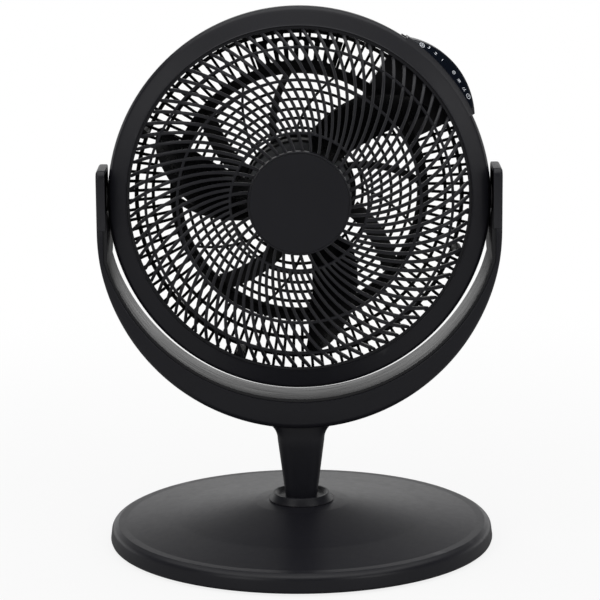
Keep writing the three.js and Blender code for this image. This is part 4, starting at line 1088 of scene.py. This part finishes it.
BEZEL_SHOULDER = -9
LIP_WIDTH = 3
LIP_FRONT, LIP_BACK = -21.2, -19.1
cone_middle = [(r, cone(r)) for r in (184, 181, 178, 175)]
(
    Moulding().turn([
        (RIM - 0.15, JOINT - 0.45, 0.3), (RIM, BEZEL_SHOULDER, 5), (*CONE_BACK, 4), *cone_middle,
        (*CONE_FRONT, 0.5), (BORE + 0.3, LIP_FRONT, 0.4), (BORE - 0.4, LIP_FRONT + 0.3, 0.4),
        (BORE - 0.6, LIP_BACK), (BORE + LIP_WIDTH, LIP_BACK),
        (RIM - RIM_WALL, BEZEL_SHOULDER), (RIM - RIM_WALL, JOINT - 0.45),
    ], 252)
    .piece("front_bezel_ring", "head", "satin_plastic", SATIN, ["front_bezel"], HEAD)
)

# ---------- front grille
# A domed grille of 78 ribs that spiral out from the middle, crossed by three rings. Ribs and rings
# are one satin black moulding; only every other rib runs on under the centre cap.

RIB_COUNT = 78
RIB_SWEEP = 0.258
RIB_START = 1.73
RIB_WIDTH, RIB_DEPTH = 3.35, 8
GRILLE_EDGE = 167.5
RING_RADII = (67.8, 119.4, 150.9)
RING_WIDTH, RING_DEPTH = 2.8, 6.0
DOME_FOOT, DOME_RISE = 18.7, 28.6
DOME_POWER = 11
CAP_SEAT = 47
RIB_STEPS = 22


def dome(radius):
    """Where the grille's face lies before the tilt axis, flat in the middle and steep at the rim."""
    return -(DOME_FOOT + DOME_RISE * (1 - (min(radius, GRILLE_EDGE) / GRILLE_EDGE) ** DOME_POWER))


grille = Moulding()
for rib in range(RIB_COUNT):
    first = CAP_SEAT - 2 if rib % 2 else RING_RADII[0]
    radii = [first + (GRILLE_EDGE + 0.6 - first) * (k / RIB_STEPS) ** 0.85 for k in range(RIB_STEPS + 1)]
    path = [around(r, rib * 360 / RIB_COUNT + RIB_SWEEP * (r - BORE) + RIB_START, dome(r)) for r in radii]
    round_bar(grille, path, tapered(RIB_WIDTH, RIB_DEPTH, 0.4))
for radius in RING_RADII:
    hoop(grille, radius, RING_WIDTH, dome(radius) + 0.25, RING_DEPTH, 0.6, 240)
hoop(grille, CAP_SEAT, 6, dome(CAP_SEAT), 5, 0.6, 160)
rim_face, rim_outer = dome(GRILLE_EDGE), BORE + LIP_WIDTH - 1
grille.turn([(GRILLE_EDGE, rim_face, 0.6), (rim_outer, rim_face), (rim_outer, rim_face + 4),
             (GRILLE_EDGE + 1.6, rim_face + 5.5, 0.5)], 240)
grille.piece("front_grille_ribs", "head", "satin_plastic", SATIN, ["front_grille"], HEAD)

# ---------- centre cap
# A plain round cap of satin black plastic closes the middle of the grille. A fine groove runs just
# inside its raised edge.

CAP_RADIUS = 50.6
CAP_CROWN = 0.5
CAP_DEPTH = 11.5
CAP_GROOVE = 0.9
cap_back = dome(CAP_RADIUS) - 0.3
cap_face = cap_back - CAP_DEPTH
flat = CAP_RADIUS - 2.2
crown = [(flat * k / 8, cap_face + 0.3 - CAP_CROWN * (1 - (k / 8) ** 2)) for k in range(7, 0, -1)]
(
    Moulding().turn([
        (0, cap_back), (CAP_RADIUS + 0.5, cap_back, 0.4), (CAP_RADIUS, cap_face + 0.5, 0.7),
        (CAP_RADIUS - 1.1, cap_face, 0.4), (CAP_RADIUS - 1.2, cap_face + CAP_GROOVE, 0.2),
        (CAP_RADIUS - 2.0, cap_face + CAP_GROOVE, 0.2), (flat, cap_face + 0.35, 0.3), *crown,
        (0, cap_face + 0.3 - CAP_CROWN),
    ], 192)
    .piece("centre_cap_disc", "head", "satin_plastic", SATIN, ["centre_cap"], HEAD)
)

# ---------- floor and light
# A plain white floor and surroundings, a large soft box overhead and two weaker ones in front. The floor
# keeps the fan's soft shadow, and what the plastic mirrors is bright behind the fan and low down only.

FLOOR_SIZE = 14
FLOOR_SEEN, FLOOR_BOUNCE = 0.86, 0.3
SHADOW_FROM, SHADOW_TO, SHADOW_GLOW = 0.3, 1.2, 0.84
LAMP_AIM = (0, 0, 0.3)


def floor_paint():
    """Pale matt paint that looks nearly white, keeps a soft shadow and throws little light back."""
    material, tree, add, shader = new_material("floor paint")
    tree.nodes.remove(shader)
    path = add("ShaderNodeLightPath").outputs
    paint = add("ShaderNodeMix", {"data_type": "RGBA"}, _0=path["Is Camera Ray"],
                _6=(*[FLOOR_BOUNCE] * 3, 1), _7=(*[FLOOR_SEEN] * 3, 1))
    matt = add("ShaderNodeBsdfDiffuse", Color=paint.outputs[2])
    glow = add("ShaderNodeEmission", Color=(1, 1, 1, 1), Strength=1.0)
    far = add("ShaderNodeVectorMath", {"operation": "LENGTH"},
              _0=add("ShaderNodeTexCoord").outputs["Object"])
    fade = add("ShaderNodeMapRange", {"interpolation_type": "SMOOTHSTEP"}, Value=far.outputs["Value"],
               _1=SHADOW_FROM, _2=SHADOW_TO, _3=SHADOW_GLOW, _4=1.0)
    share = add("ShaderNodeMath", {"operation": "MULTIPLY"}, _0=path["Is Camera Ray"], _1=fade.outputs[0])
    mixed = add("ShaderNodeMixShader", _0=share.outputs[0], _1=matt.outputs[0], _2=glow.outputs[0])
    tree.links.new(mixed.outputs[0], tree.nodes["Material Output"].inputs["Surface"])
    return material


floor_mesh = bpy.data.meshes.new("floor")
reach = FLOOR_SIZE / 2
floor_corners = [(-reach, -reach, 0), (reach, -reach, 0), (reach, reach, 0), (-reach, reach, 0)]
floor_mesh.from_pydata(floor_corners, [], [(0, 1, 2, 3)])
floor_mesh.materials.append(floor_paint())
floor = bpy.data.objects.new("floor", floor_mesh)
bpy.context.scene.collection.objects.link(floor)


def soft_box(name, place, target, size, power):
    """A square lamp that faces a point."""
    lamp = bpy.data.lights.new(name, "AREA")
    lamp.shape = "RECTANGLE"
    lamp.size, lamp.size_y = size
    lamp.energy = power
    made = bpy.data.objects.new(name, lamp)
    way = Vector(target) - Vector(place)
    facing = way.to_track_quat("-Z", "Y").to_matrix().to_4x4()
    made.matrix_world = Matrix.Translation(Vector(place)) @ facing
    bpy.context.scene.collection.objects.link(made)
    return made


lamps = [
    soft_box("soft box overhead", (0, 0, 2.4), LAMP_AIM, (3.6, 3.0), 33),
    soft_box("soft box front left", (-1.8, -2.4, 1.5), LAMP_AIM, (1.2, 1.4), 8),
    soft_box("soft box front right", (2.0, -2.2, 1.3), LAMP_AIM, (1.0, 1.4), 7),
]

world = bpy.data.worlds.new("surroundings")
bpy.context.scene.world = world
world.use_nodes = True
sky = world.node_tree
add = nodes_in(sky)
path = add("ShaderNodeLightPath").outputs
way = add("ShaderNodeSeparateXYZ", Vector=add("ShaderNodeTexCoord").outputs["Generated"]).outputs
behind = add("ShaderNodeMapRange", Value=way["Y"], _1=0.3, _2=0.7, _3=0.2, _4=1.0)
low = add("ShaderNodeMapRange", {"interpolation_type": "SMOOTHSTEP"}, Value=way["Z"], _1=0.16, _2=0.42,
          _3=1.0, _4=0.1)
backdrop = add("ShaderNodeMath", {"operation": "MULTIPLY"}, _0=behind.outputs[0], _1=low.outputs[0])
mirrored = add("ShaderNodeMath", {"operation": "MAXIMUM"}, _0=path["Is Glossy Ray"],
               _1=path["Is Transmission Ray"])
glossy = add("ShaderNodeMix", {"data_type": "FLOAT"}, _0=mirrored.outputs[0], _2=0.5,
             _3=backdrop.outputs[0])
seen = add("ShaderNodeMix", {"data_type": "FLOAT"}, _0=path["Is Camera Ray"], _2=glossy.outputs[0], _3=1.0)
sky.links.new(seen.outputs[0], sky.nodes["Background"].inputs["Strength"])
sky.nodes["Background"].inputs["Color"].default_value = (1, 1, 1, 1)
